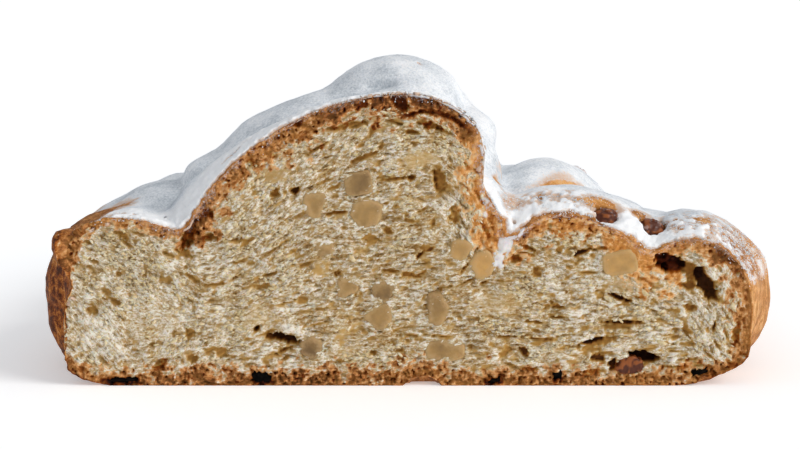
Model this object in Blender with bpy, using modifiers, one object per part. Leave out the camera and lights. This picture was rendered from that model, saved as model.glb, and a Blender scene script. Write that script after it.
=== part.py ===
"""A cut half of a plaited Christmas stollen, with its candied peel and raisins.

Frame: +Z up, +X to the right of the cut, +Y into the loaf. The cut is the flat
face at the low end of Y, and the origin is under the middle of the loaf, on the
surface that it rests on. The loaf is one solid: a rounded base with rows of
dough folds laid over it like the turns of a plait. Peel cubes and raisins are
solids of their own, each in a pocket a little larger than itself.
"""

import math

import bmesh
import bpy
from mathutils import Matrix, Vector, noise

MM = 0.001

# Driving dimensions, in millimetres
LOAF_LENGTH = 142.0
BASE_WIDTH = 153.0
BASE_HEIGHT = 25.0
BASE_TUCK = 4.0
BASE_SUNK = 1.0
WIDEST_SHARE = 0.2
PLAN_POWER = 2.5
RISE_POWER = 6.0
SKIN_VOXEL = 1.5
SKIN_SOFTENING = 6
SKIN_SHARE = 0.048
POCKET_GAP = 0.35
PEEL_DEPTH = 5.5
PEEL_ROUNDING = 0.6

# The cut face stands at this Y, so that the loaf is centred on the origin.
CUT_Y = -LOAF_LENGTH / 2

# Folds at the cut: centre (x, y behind the cut, z), half sizes (across, along,
# height), lean up to the right and slant in plan, in degrees.
CUT_FOLDS = {
    "shoulder": dict(centre=(-54.6, 7, 21.8), half=(13.5, 24, 23.6), lean=58.8, slant=0),
    "shoulder_side": dict(centre=(-64.5, 22, 16), half=(17.5, 19, 21), lean=0, slant=0),
    "ridge": dict(centre=(-20.1, 6, 36.7), half=(44.0, 21, 22.1), lean=27.7, slant=-22),
    "ridge_foot": dict(centre=(4.2, 12, 34.4), half=(20.0, 22, 14.6), lean=1.6, slant=0),
    "heart": dict(centre=(18, 20, 15), half=(30, 40, 14), lean=0, slant=0),
    "lip": dict(centre=(43.2, 15, 21.0), half=(28.7, 20, 18.0), lean=-32.2, slant=20),
    "edge": dict(centre=(62.4, 14, 17.5), half=(16.5, 24, 19.0), lean=0, slant=0),
    "edge_side": dict(centre=(63.5, 21, 15), half=(18.8, 18, 20.5), lean=0, slant=0),
}

# Whole folds behind the cut, one set for each row of the plait.
ROW_FOLDS = {
    "shoulder": dict(centre=(-56, 2, 19), half=(23, 27, 20), lean=8, slant=12),
    "flank": dict(centre=(-26, 0, 35), half=(31.5, 22, 21.5), lean=33, slant=-20),
    "ridge": dict(centre=(-2, 0, 40), half=(23, 21, 29), lean=0, slant=-20),
    "knob": dict(centre=(10, -13, 41), half=(12, 11, 14), lean=0, slant=10),
    "lip": dict(centre=(32, 13, 23), half=(24, 20, 19.5), lean=-12, slant=26),
    "edge": dict(centre=(59, 7, 14), half=(21, 27, 17), lean=-6, slant=12),
}

# The rows: distance behind the cut, shift to the right and further slant.
ROWS = [
    dict(at=36, shift=0, slant=0),
    dict(at=71, shift=2, slant=5),
    dict(at=100, shift=-1, slant=-4),
]

# The loaf's tucked-in end.
END_FOLDS = {
    "end_left": dict(centre=(-17, 113.7, 16), half=(36, 25, 21), lean=8, slant=-22),
    "end_right": dict(centre=(18, 114.7, 14), half=(38, 26, 18), lean=-6, slant=20),
}

# Candied peel in the cut face: centre (x, z), side lengths (x, z) and turn.
PEEL_CUBES = [
    dict(at=(-20.0, 40.3), size=(4.6, 5.4), turn=12),
    dict(at=(-10.6, 45.0), size=(5.6, 4.6), turn=-8),
    dict(at=(-8.7, 38.4), size=(6.8, 5.6), turn=-18),
    dict(at=(-18.3, 30.6), size=(3.8, 3.4), turn=20),
    dict(at=(-13.5, 21.8), size=(4.2, 4.4), turn=38),
    dict(at=(-5.6, 21.4), size=(5.2, 4.2), turn=30),
    dict(at=(-6.2, 15.2), size=(5.6, 5.2), turn=-14),
    dict(at=(6.4, 17.3), size=(5.0, 6.6), turn=25),
    dict(at=(-21.2, 8.4), size=(4.4, 4.8), turn=32),
    dict(at=(8.3, 7.9), size=(8.0, 4.6), turn=-10),
    dict(at=(11.2, 30.6), size=(4.8, 4.6), turn=35),
    dict(at=(16.4, 26.8), size=(5.2, 5.2), turn=-24),
    dict(at=(46.5, 27.4), size=(7.0, 4.6), turn=-12),
]

# Raisins at the cut and on the crust near it: centre (x, y behind the cut, z),
# half sizes and turn. "burnt" ones lie in the bottom crust.
RAISINS = [
    dict(centre=(49.0, 1.2, 4.4), half=(3.3, 2.8, 2.1), turn=-8, burnt=False),
    dict(centre=(53.6, 8.5, 32.6), half=(3.4, 3.2, 3.2), turn=28, burnt=False),
    dict(centre=(43.0, 4.5, 36.6), half=(3.4, 2.8, 2.2), turn=-10, burnt=False),
    dict(centre=(22.4, 4.5, 33.6), half=(2.0, 2.8, 4.0), turn=-14, burnt=False),
    dict(centre=(-32.0, 1.0, 1.8), half=(2.8, 2.4, 1.7), turn=6, burnt=True),
    dict(centre=(-63.0, 1.2, 1.2), half=(4.6, 2.8, 1.0), turn=0, burnt=True),
    dict(centre=(33.2, 0.9, 2.3), half=(1.6, 2.0, 1.4), turn=20, burnt=True),
    dict(centre=(19.2, 1.0, 1.1), half=(1.9, 2.0, 1.0), turn=0, burnt=True),
    dict(centre=(64.5, 1.0, 2.9), half=(2.3, 2.0, 1.0), turn=-10, burnt=True),
]

# Raisins that break the crust away from the cut: row (counted from 0), its fold,
# the way they face out of it (x, y, z) and turn.
CRUST_RAISINS = [
    dict(row=0, fold="edge", facing=(0.95, 0.1, 0.15), turn=20),
    dict(row=1, fold="lip", facing=(0.55, 0.6, 0.6), turn=-30),
    dict(row=1, fold="shoulder", facing=(-0.85, -0.15, 0.5), turn=40),
    dict(row=2, fold="flank", facing=(-0.35, 0.2, 0.9), turn=10),
    dict(row=2, fold="edge", facing=(0.8, 0.55, 0.3), turn=-15),
]
CRUST_RAISIN_HALF = (4.0, 3.2, 2.8)

# Holes that the knife opened: centre, half sizes and turn in the cut's plane.
CAVITIES = [
    dict(centre=(57.4, 0, 27.0), half=(3.4, 6, 1.7), turn=-8),
    dict(centre=(65.8, 0, 21.4), half=(4.0, 6, 1.9), turn=-44),
    dict(centre=(7.2, 0, 45.3), half=(1.2, 4, 2.4), turn=8),
    dict(centre=(-48.4, 0, 32.0), half=(1.1, 5, 2.6), turn=12),
    dict(centre=(-28.2, 0, 10.6), half=(3.3, 4, 0.9), turn=10),
    dict(centre=(3.4, 0, -0.4), half=(4.0, 5, 2.6), turn=0),
]


def rgb_from_hex(text):
    """sRGB hex text to the linear colour that a shader takes."""
    channels = [int(text[i : i + 2], 16) / 255 for i in (0, 2, 4)]
    return [c / 12.92 if c <= 0.04045 else ((c + 0.055) / 1.055) ** 2.4 for c in channels]


def make_material(name, colour, roughness):
    material = bpy.data.materials.new(name)
    material.use_nodes = True
    shader = material.node_tree.nodes["Principled BSDF"]
    shader.inputs["Base Color"].default_value = [*rgb_from_hex(colour), 1]
    shader.inputs["Roughness"].default_value = roughness
    return material


def add_object(name, bm, collection, material=None):
    mesh = bpy.data.meshes.new(name)
    bm.to_mesh(mesh)
    bm.free()
    if material:
        mesh.materials.append(material)
        mesh.shade_smooth()
    obj = bpy.data.objects.new(name, mesh)
    collection.objects.link(obj)
    if not material:
        obj.hide_render = True
        obj.display_type = "WIRE"
    return obj


def ellipsoid(bm, centre, half, turn=None, segments=32):
    """Adds a closed ellipsoid, sizes in millimetres. Returns its vertices."""
    place = Matrix.Translation(Vector(centre) * MM) @ (turn or Matrix())
    place = place @ Matrix.Diagonal((*(Vector(half) * MM), 1))
    made = bmesh.ops.create_uvsphere(
        bm, u_segments=segments, v_segments=segments // 2, radius=1, matrix=place
    )
    return made["verts"]


def in_cut_plane(turn):
    """A turn in the plane of the cut, clockwise as seen from in front of it."""
    return Matrix.Rotation(math.radians(turn), 4, "Y")


def superellipse(along, power):
    """How far across a squared-off ellipse of half sizes 1 reaches, at this distance along it."""
    return (1 - min(abs(along), 1) ** power) ** (1 / power)


def swell(share):
    """The loaf's width at this share of its length, against its widest."""
    return superellipse((share - WIDEST_SHARE) / (1 - WIDEST_SHARE), PLAN_POWER)


def crown(share):
    """The folds' height at this share of the length, against the first row behind the cut."""
    return 1 - 0.45 * max(share - 0.25, 0)


def fold_place(fold, row=None):
    """Centre, half sizes and turn of a fold, in millimetres, narrowed and lowered to fit its row."""
    row = row or dict(at=0, shift=0, slant=0)
    share = row["at"] / LOAF_LENGTH
    wide = swell(share) if row["at"] else 1
    x, y, z = fold["centre"]
    across, along, height = fold["half"]
    centre = Vector(((x + row["shift"]) * wide, CUT_Y + row["at"] + y, z * crown(share)))
    half = Vector((across * wide, along, height * crown(share)))
    slant = Matrix.Rotation(math.radians(fold["slant"] + row["slant"]), 4, "Z")
    return centre, half, slant @ Matrix.Rotation(math.radians(-fold["lean"]), 4, "Y")


def add_base(bm):
    """The loaf's rounded base: a sphere squared off in plan and in section."""
    made = bmesh.ops.create_uvsphere(bm, u_segments=96, v_segments=48, radius=1)
    middle = Vector((0, CUT_Y + LOAF_LENGTH * WIDEST_SHARE, BASE_HEIGHT / 2 - BASE_SUNK))
    half_length = LOAF_LENGTH * (1 - WIDEST_SHARE) - BASE_TUCK
    half = Vector((BASE_WIDTH / 2, half_length, BASE_HEIGHT / 2))
    for vert in made["verts"]:
        x, y, z = vert.co
        flat = math.hypot(x, y)
        square = (flat**RISE_POWER + abs(z) ** RISE_POWER) ** (-1 / RISE_POWER)
        if flat > 1e-6:
            corner = (abs(x) ** PLAN_POWER + abs(y) ** PLAN_POWER) ** (1 / PLAN_POWER)
            x, y = x * flat / corner, y * flat / corner
        vert.co = (middle + Vector((x * half.x, y * half.y, z * half.z)) * square) * MM


def make_loaf(parts, material, trim, pockets):
    """The base and every fold, grown together into one baked skin, then cut."""
    bm = bmesh.new()
    add_base(bm)
    for fold in [*CUT_FOLDS.values(), *END_FOLDS.values()]:
        ellipsoid(bm, *fold_place(fold))
    for row in ROWS:
        for fold in ROW_FOLDS.values():
            ellipsoid(bm, *fold_place(fold, row))
    loaf = add_object("stollen_loaf", bm, parts, material)

    skin = loaf.modifiers.new("grow_together", "REMESH")
    skin.mode = "VOXEL"
    skin.voxel_size = SKIN_VOXEL * MM
    skin.use_smooth_shade = True
    soften = loaf.modifiers.new("soften_creases", "SMOOTH")
    soften.factor = 0.5
    soften.iterations = SKIN_SOFTENING
    thin = loaf.modifiers.new("fewer_faces", "DECIMATE")
    thin.ratio = SKIN_SHARE

    half_loaf = loaf.modifiers.new("cut_and_base", "BOOLEAN")
    half_loaf.operation = "INTERSECT"
    half_loaf.object = trim
    hollows = loaf.modifiers.new("pockets", "BOOLEAN")
    hollows.operation = "DIFFERENCE"
    hollows.operand_type = "COLLECTION"
    hollows.collection = pockets
    return loaf


def make_trim(cutters):
    """The box that holds the half loaf: its low Y side is the cut, its floor the tray."""
    bm = bmesh.new()
    side = 2 * LOAF_LENGTH * MM
    middle = Vector((0, CUT_Y * MM + side / 2, side / 2))
    bmesh.ops.create_cube(bm, size=side, matrix=Matrix.Translation(middle))
    return add_object("trim", bm, cutters)


def peel_block(bm, cube, grow, front):
    """A block of peel that runs from front (y behind the cut) to PEEL_DEPTH, grown all round."""
    back = PEEL_DEPTH + grow
    size = Vector((cube["size"][0] + 2 * grow, back - front, cube["size"][1] + 2 * grow)) * MM
    x, z = cube["at"]
    middle = Vector((x, CUT_Y + (front + back) / 2, z)) * MM
    place = Matrix.Translation(middle) @ in_cut_plane(cube["turn"]) @ Matrix.Diagonal((*size, 1))
    bmesh.ops.create_cube(bm, size=1, matrix=place)


def make_peel(parts, material, pockets):
    for number, cube in enumerate(PEEL_CUBES, 1):
        bm = bmesh.new()
        peel_block(bm, cube, 0, 0)
        bmesh.ops.bevel(
            bm, geom=bm.edges[:], offset=PEEL_ROUNDING * MM, segments=1, profile=0.5,
            affect="EDGES", clamp_overlap=True,
        )
        add_object(f"peel_cube_{number:02d}", bm, parts, material)
        bm = bmesh.new()
        peel_block(bm, cube, POCKET_GAP, -2)
        add_object(f"peel_pocket_{number:02d}", bm, pockets)


def add_raisin(name, centre, half, turn, parts, material, pockets):
    """A wrinkled raisin, cut flat where it would pass the cut face, and its pocket."""
    bm = bmesh.new()
    middle = Vector(centre) * MM
    for vert in ellipsoid(bm, centre, half, turn, segments=14):
        wrinkle = noise.noise(vert.co / (2.6 * MM))
        vert.co = middle + (vert.co - middle) * (1 + 0.12 * wrinkle)
        vert.co.y = max(vert.co.y, (CUT_Y + 0.1) * MM)
        vert.co.z = max(vert.co.z, 0.2 * MM)
    add_object(name, bm, parts, material)
    bm = bmesh.new()
    ellipsoid(bm, centre, Vector(half) * 1.08 + Vector([POCKET_GAP] * 3), turn, segments=14)
    add_object(name.replace("raisin", "raisin_pocket"), bm, pockets)


def make_raisins(parts, materials, pockets):
    for number, raisin in enumerate(RAISINS, 1):
        x, y, z = raisin["centre"]
        material = materials["burnt" if raisin["burnt"] else "plump"]
        turn = in_cut_plane(raisin["turn"])
        add_raisin(
            f"raisin_{number:02d}", (x, CUT_Y + y, z), raisin["half"], turn, parts, material, pockets
        )
    for number, raisin in enumerate(CRUST_RAISINS, len(RAISINS) + 1):
        centre, half, turn = fold_place(ROW_FOLDS[raisin["fold"]], ROWS[raisin["row"]])
        facing = Vector(raisin["facing"]).normalized()
        local = turn.to_3x3().inverted() @ facing
        reach = 1 / math.sqrt(sum((local[i] / half[i]) ** 2 for i in range(3)))
        out = facing.to_track_quat("Z", "Y").to_matrix().to_4x4()
        out = out @ Matrix.Rotation(math.radians(raisin["turn"]), 4, "Z")
        add_raisin(
            f"raisin_{number:02d}", centre + facing * (reach - 1.2), CRUST_RAISIN_HALF, out,
            parts, materials["plump"], pockets,
        )


def make_cavities(pockets):
    for number, hole in enumerate(CAVITIES, 1):
        x, y, z = hole["centre"]
        bm = bmesh.new()
        ellipsoid(bm, (x, CUT_Y + y, z), hole["half"], in_cut_plane(hole["turn"]), segments=16)
        add_object(f"cavity_{number}", bm, pockets)


def main():
    for obj in list(bpy.data.objects):
        bpy.data.objects.remove(obj)
    parts = bpy.data.collections.new("Stollen")
    cutters = bpy.data.collections.new("Cutters")
    pockets = bpy.data.collections.new("Pockets")
    cutters.hide_render = True
    bpy.context.scene.collection.children.link(parts)
    bpy.context.scene.collection.children.link(cutters)
    cutters.children.link(pockets)

    trim = make_trim(cutters)
    make_peel(parts, make_material("candied_peel", "D2A96B", 0.35), pockets)
    raisin_materials = {
        "plump": make_material("raisin_skin", "5A2C17", 0.45),
        "burnt": make_material("burnt_raisin", "1F1512", 0.6),
    }
    make_raisins(parts, raisin_materials, pockets)
    make_cavities(pockets)
    make_loaf(parts, make_material("baked_crust", "B5763C", 0.75), trim, pockets)


main()
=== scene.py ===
import functools
import itertools
import math

import bmesh
import bpy
import numpy as np
from mathutils import Matrix, Vector
from mathutils.kdtree import KDTree


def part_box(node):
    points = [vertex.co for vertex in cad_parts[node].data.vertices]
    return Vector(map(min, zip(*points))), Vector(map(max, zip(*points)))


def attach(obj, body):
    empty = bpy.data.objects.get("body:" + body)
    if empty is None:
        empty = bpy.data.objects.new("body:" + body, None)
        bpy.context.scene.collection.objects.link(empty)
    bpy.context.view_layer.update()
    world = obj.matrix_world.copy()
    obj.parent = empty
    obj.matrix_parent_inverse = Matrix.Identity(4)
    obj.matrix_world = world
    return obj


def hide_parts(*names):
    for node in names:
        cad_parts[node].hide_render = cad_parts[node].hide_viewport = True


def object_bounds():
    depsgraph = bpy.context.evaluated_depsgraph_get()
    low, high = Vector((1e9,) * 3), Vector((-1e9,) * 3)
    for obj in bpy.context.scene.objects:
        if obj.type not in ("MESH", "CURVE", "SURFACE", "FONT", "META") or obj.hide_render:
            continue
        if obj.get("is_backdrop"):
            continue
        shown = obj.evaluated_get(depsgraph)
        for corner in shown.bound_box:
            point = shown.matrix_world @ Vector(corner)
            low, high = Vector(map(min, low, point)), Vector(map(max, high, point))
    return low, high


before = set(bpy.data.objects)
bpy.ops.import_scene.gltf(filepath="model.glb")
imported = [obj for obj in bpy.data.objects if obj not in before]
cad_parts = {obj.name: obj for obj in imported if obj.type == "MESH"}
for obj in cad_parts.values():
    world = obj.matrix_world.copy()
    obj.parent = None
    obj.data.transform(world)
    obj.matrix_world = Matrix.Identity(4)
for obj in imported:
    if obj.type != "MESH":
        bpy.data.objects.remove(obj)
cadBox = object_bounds()
mm = 0.001
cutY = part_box("stollen_loaf")[0].y / mm  # the plane of the cut, in millimetres
peelNodes = sorted(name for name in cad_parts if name.startswith("peel_cube"))
burntNodes = [f"raisin_{number:02d}" for number in range(5, 10)]
footNodes = ["raisin_01"]  # the plump raisin that the knife met
plumpNodes = sorted(
    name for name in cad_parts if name.startswith("raisin") and name not in burntNodes
)


# Lengths below are in millimetres until a mesh is written.


# rows of values as dictionaries, under the names of their columns
def table(columns, *rows):
    return [dict(zip(columns.split(), row)) for row in rows]


# 0 up to low, 1 from high on, and eased in between
def smooth(value, low, high):
    share = np.clip((value - low) / (high - low), 0, 1)
    return share * share * (3 - 2 * share)


# soft noise between -1 and 1 for rows of points, with features about size mm across
def cloud(points, size, seed=0, octaves=2):
    total, strength = 0, 0
    for octave in range(octaves):
        place = np.asarray(points, float) / (size / 2**octave) + 19.37 * (seed + 3 * octave + 1)
        corner = np.floor(place).astype(np.int64)
        part = place - corner
        part = part * part * (3 - 2 * part)
        value = 0
        for step in itertools.product((0, 1), repeat=3):
            at = corner + step
            key = at[:, 0] * 73856093 ^ at[:, 1] * 19349663 ^ at[:, 2] * 83492791
            key = (key ^ (key >> 13)) * 1274126177 & 0x7FFFFFFF
            key = (key ^ (key >> 16)) * 668265263 & 0x7FFFFFFF
            share = np.prod(np.where(step, part, 1 - part), axis=1)
            value = value + share * (key / 0x3FFFFFFF - 1)
        total = total + value / 2**octave
        strength += 1 / 2**octave
    return total / strength


# finds the nearest of some points
def treeOf(points):
    tree = KDTree(len(points))
    for number, point in enumerate(points):
        tree.insert(point, number)
    tree.balance()
    return tree


def newObject(name, data):
    obj = bpy.data.objects.new(name, data)
    bpy.context.scene.collection.objects.link(obj)
    return obj


# turns a bmesh into a mesh
def meshOf(bm, name):
    mesh = bpy.data.meshes.new(name)
    bm.to_mesh(mesh)
    bm.free()
    return mesh


# where a mesh's vertices are, in millimetres
def vertexPlaces(mesh):
    values = np.empty(len(mesh.vertices) * 3)
    mesh.vertices.foreach_get("co", values)
    return values.reshape(-1, 3) / mm


def vertexNormals(mesh):
    values = np.empty(len(mesh.vertices) * 3)
    mesh.vertex_normals.foreach_get("vector", values)
    return values.reshape(-1, 3)


def moveVertices(mesh, places):
    mesh.vertices.foreach_set("co", (places * mm).ravel())
    mesh.update()


# gives each vertex a value that a material reads
def paint(mesh, name, values):
    layer = mesh.attributes.new(name, "FLOAT", "POINT")
    layer.data.foreach_set("value", np.ascontiguousarray(values, dtype=np.float32))


# one bmesh of several CAD nodes, each grown a little and kept behind the cut and above the tray
def joinedNodes(names, grow=0.0):
    joined = bmesh.new()
    for name in names:
        part = bmesh.new()
        part.from_mesh(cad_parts[name].data)
        bmesh.ops.remove_doubles(part, verts=part.verts, dist=1e-6)
        part.normal_update()
        for vert in part.verts:
            vert.co += vert.normal * grow * mm
            vert.co.y = max(vert.co.y, cutY * mm)
            vert.co.z = max(vert.co.z, 0)
        mesh = meshOf(part, name)
        joined.from_mesh(mesh)
        bpy.data.meshes.remove(mesh)
    return joined


# grows what is in a bmesh into one even skin of small quads
def evenSkin(bm, size):
    mesh = meshOf(bm, "skin")
    obj = newObject("skin", mesh)
    remesh = obj.modifiers.new("even_skin", "REMESH")
    remesh.mode = "VOXEL"
    remesh.voxel_size = size * mm
    graph = bpy.context.evaluated_depsgraph_get()
    result = bpy.data.meshes.new_from_object(obj.evaluated_get(graph))
    bpy.data.objects.remove(obj)
    bpy.data.meshes.remove(mesh)
    return result


# divides the quads in a band behind the cut and turns the odd faces round them into triangles
def divideFront(bm, band, cuts):
    behind = (cutY + band) * mm
    faces = [face for face in bm.faces if face.calc_center_median().y < behind]
    edges = {edge for face in faces for edge in face.edges}
    bmesh.ops.subdivide_edges(bm, edges=list(edges), cuts=cuts, use_grid_fill=True)
    bmesh.ops.triangulate(bm, faces=[face for face in bm.faces if len(face.verts) > 4])


# puts a finished mesh in the scene, with its material and body, and hides the CAD nodes that it stands
# for
def finishPiece(name, mesh, material, nodes=()):
    mesh.shade_smooth()
    mesh.materials.clear()
    mesh.materials.append(material)
    piece = newObject(name, mesh)
    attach(piece, "root")
    if nodes:
        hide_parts(*nodes)
    print(name, sum(len(face.vertices) - 2 for face in mesh.polygons), "triangles")
    return piece


# the linear values of an sRGB hex colour
def linear(colour):
    channels = [int(colour[i : i + 2], 16) / 255 for i in (0, 2, 4)]
    return [c / 12.92 if c <= 0.04045 else ((c + 0.055) / 1.055) ** 2.4 for c in channels] + [1]


# gives a node's sockets their values or links, by name or as a list in the node's own order
def fill(node, sockets):
    if not isinstance(sockets, dict):
        sockets = dict(enumerate(sockets))
    shown = [socket for socket in node.inputs if socket.enabled]
    for key, value in sockets.items():
        socket = shown[key] if isinstance(key, int) else node.inputs[key]
        if isinstance(value, bpy.types.Node):
            value = next(output for output in value.outputs if output.enabled)
        if isinstance(value, bpy.types.NodeSocket):
            node.id_data.links.new(value, socket)
        else:
            socket.default_value = value


# adds a node with its settings, what goes into its sockets, and the stops of a colour ramp
def addNode(tree, kind, sockets=(), stops=(), **settings):
    node = tree.nodes.new("ShaderNode" + kind)
    for key, value in settings.items():
        setattr(node, key, value)
    if stops:
        elements = node.color_ramp.elements
        while len(elements) < len(stops):
            elements.new(0.5)
        for element, (position, colour) in zip(elements, stops):
            element.position = position
            element.color = linear(colour)
    fill(node, sockets)
    return node


# a material with its shader, a way to add its nodes, Object coordinates and the attributes it reads
def newMaterial(name, *attributes):
    material = bpy.data.materials.new(name)
    material.use_nodes = True
    tree = material.node_tree
    tree.nodes.clear()
    add = functools.partial(addNode, tree)
    shader = add("BsdfPrincipled")
    add("OutputMaterial", {"Surface": shader})
    coords = add("TexCoord").outputs["Object"]
    painted = [add("Attribute", attribute_name=key).outputs["Fac"] for key in attributes]
    return material, shader, add, coords, *painted


# the crumb's relief is drawn on a fine grid over the cut
reliefGrid = {"step": 0.2, "left": -86.0, "right": 86.0, "low": -2.0, "high": 72.0}
gridX, gridZ = np.meshgrid(
    np.arange(reliefGrid["left"], reliefGrid["right"], reliefGrid["step"]),
    np.arange(reliefGrid["low"], reliefGrid["high"], reliefGrid["step"]),
)


# the column and row of a place on the grid
def gridPlace(x, z):
    return (x - reliefGrid["left"]) / reliefGrid["step"], (z - reliefGrid["low"]) / reliefGrid["step"]


# a value known at a few places, spread over the cut
def spread(x, z, places, key):
    total, weight = 0, 0
    for place in places:
        px, pz = place["at"]
        pull = 1 / (((x - px) ** 2 + (z - pz) ** 2) / place["reach"] ** 2 + 0.05) ** 2
        total = total + pull * place[key]
        weight = weight + pull
    return total / weight


# which way the torn dough runs, in degrees up to the right, and how drawn out its pores are
crumbFlow = table(
    "at angle drawn reach",
    ((45, 8), 2, 2.8, 18),
    ((40, 17), -6, 2.4, 12),
    ((36, 30), -14, 1.8, 9),
    ((52, 22), -30, 1.8, 8),
    ((66, 13), -65, 1.8, 6),
    ((71, 20), -80, 1.8, 5),
    ((0, 4), 2, 2.0, 22),
    ((10, 14), 4, 2.6, 14),
    ((-10, 18), 8, 2.8, 14),
    ((-8, 32), 10, 2.2, 12),
    ((-30, 32), 26, 3.0, 12),
    ((-38, 24), 18, 2.6, 10),
    ((-28, 42), 34, 2.2, 9),
    ((-14, 54), 26, 2.6, 9),
    ((2, 58), -6, 2.4, 8),
    ((0, 48), 12, 2.2, 8),
    ((12, 50), -48, 2.0, 7),
    ((15, 38), -72, 1.8, 7),
    ((18, 30), -60, 1.8, 5),
    ((-60, 25), -24, 1.3, 10),
    ((-48, 22), -30, 1.6, 8),
    ((-68, 12), -48, 1.8, 7),
    ((-50, 8), 20, 1.5, 9),
)


# the angle at which the dough runs and how drawn out it is, all over the cut
def doughFlow():
    for place in crumbFlow:
        doubled = math.radians(2 * place["angle"])
        place["runX"], place["runZ"] = math.cos(doubled), math.sin(doubled)
    runX, runZ, drawn = (spread(gridX, gridZ, crumbFlow, key) for key in ("runX", "runZ", "drawn"))
    return 0.5 * np.arctan2(runZ, runX), drawn


flowAngle, flowDrawn = doughFlow()


# noise of unit strength whose features are along by across mm, at one angle
def streaks(seed, along, across, angle=0.0):
    white = np.random.default_rng(seed).standard_normal(gridX.shape)
    freqZ = np.fft.fftfreq(gridX.shape[0], reliefGrid["step"])[:, None]
    freqX = np.fft.rfftfreq(gridX.shape[1], reliefGrid["step"])[None, :]
    lengthwise = (freqX * math.cos(angle) + freqZ * math.sin(angle)) * along
    crosswise = (freqZ * math.cos(angle) - freqX * math.sin(angle)) * across
    spot = lengthwise**2 + crosswise**2
    keep = np.exp(-spot) - np.exp(-9 * spot)
    noise = np.fft.irfft2(np.fft.rfft2(white) * keep, gridX.shape)
    return noise / noise.std()


# streaks that turn everywhere with the dough
def flowing(seed, along, across, directions=9):
    total, weight = 0, 0
    for number in range(directions):
        angle = math.pi * number / directions
        share = np.cos(flowAngle - angle) ** 16
        total = total + share * streaks(seed + number, along, across, angle)
        weight = weight + share**2
    return total / np.sqrt(weight)


# noise with round features
def isotropic(seed, size):
    return streaks(seed, size, size)


# sinks one ragged oval hole into a field; deeper holes win where they overlap
def sinkHole(field, ragged, at, half, turn, value, softness=0.2):
    x, z = at
    reach = max(half) * 1.5 + 0.6
    left, low = (int(cell) for cell in gridPlace(x - reach, z - reach))
    right, high = (int(cell) + 2 for cell in gridPlace(x + reach, z + reach))
    if left < 0 or low < 0 or right > gridX.shape[1] or high > gridX.shape[0]:
        return
    window = (slice(low, high), slice(left, right))
    dx, dz = gridX[window] - x, gridZ[window] - z
    along = dx * math.cos(turn) + dz * math.sin(turn)
    across = dz * math.cos(turn) - dx * math.sin(turn)
    edge = min(max(softness / min(half), 0.12), 0.6)
    rough = ragged[window] * min(1, 0.9 / min(half))
    out = np.hypot(along / half[0], across / half[1]) + rough
    hole = value * smooth(-out, -1 - edge, -1 + edge)
    field[window] = np.maximum(field[window], hole)


# the same for a spot with its turn in degrees
def sinkSpot(field, ragged, spot, value, softness=0.2):
    sinkHole(field, ragged, spot["at"], spot["half"], math.radians(spot["turn"]), value, softness)


# reads a field of the grid at points of the cut
def sample(field, x, z):
    column, row = gridPlace(x, z)
    column = np.clip(column, 0, field.shape[1] - 1.001)
    row = np.clip(row, 0, field.shape[0] - 1.001)
    left, low = column.astype(int), row.astype(int)
    across, up = column - left, row - low
    bottom = field[low, left] * (1 - across) + field[low, left + 1] * across
    top = field[low + 1, left] * (1 - across) + field[low + 1, left + 1] * across
    return bottom * (1 - up) + top * up


cutCrumb = {
    "ground": 0.62,  # how far the cut's surface lies behind its plane, on average
    "least": 0.04,
    "waves": 0.26,  # how much broad waves, layers, threads and grit take from that or add to it
    "layers": 0.24,
    "threads": 0.2,
    "grit": 0.12,
    "underPeel": 0.6,
    "across": (-80, 80),  # where pores are tried
    "upward": (1, 69),
    "soft": 0.16,  # how soft the edges of pores are
    "seed": 71,
}


# the kinds of pores that the dough is full of: how many, half their middle length, how slim,
# how uneven in size, how deep for their width, the darkest shade painted in them, and how
# drawn out the dough has to be
pores = table(
    "count length slim uneven depth darkest leastDrawn",
    (5200, 0.36, 1.0, 0.35, 1.5, 0.62, 0),
    (150, 0.8, 1.0, 0.35, 1.1, 0.62, 0),
    (520, 0.52, 2.6, 0.4, 2.6, 0.62, 0),
    (420, 0.56, 4.2, 0.4, 4.2, 0.85, 2.25),
)
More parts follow.
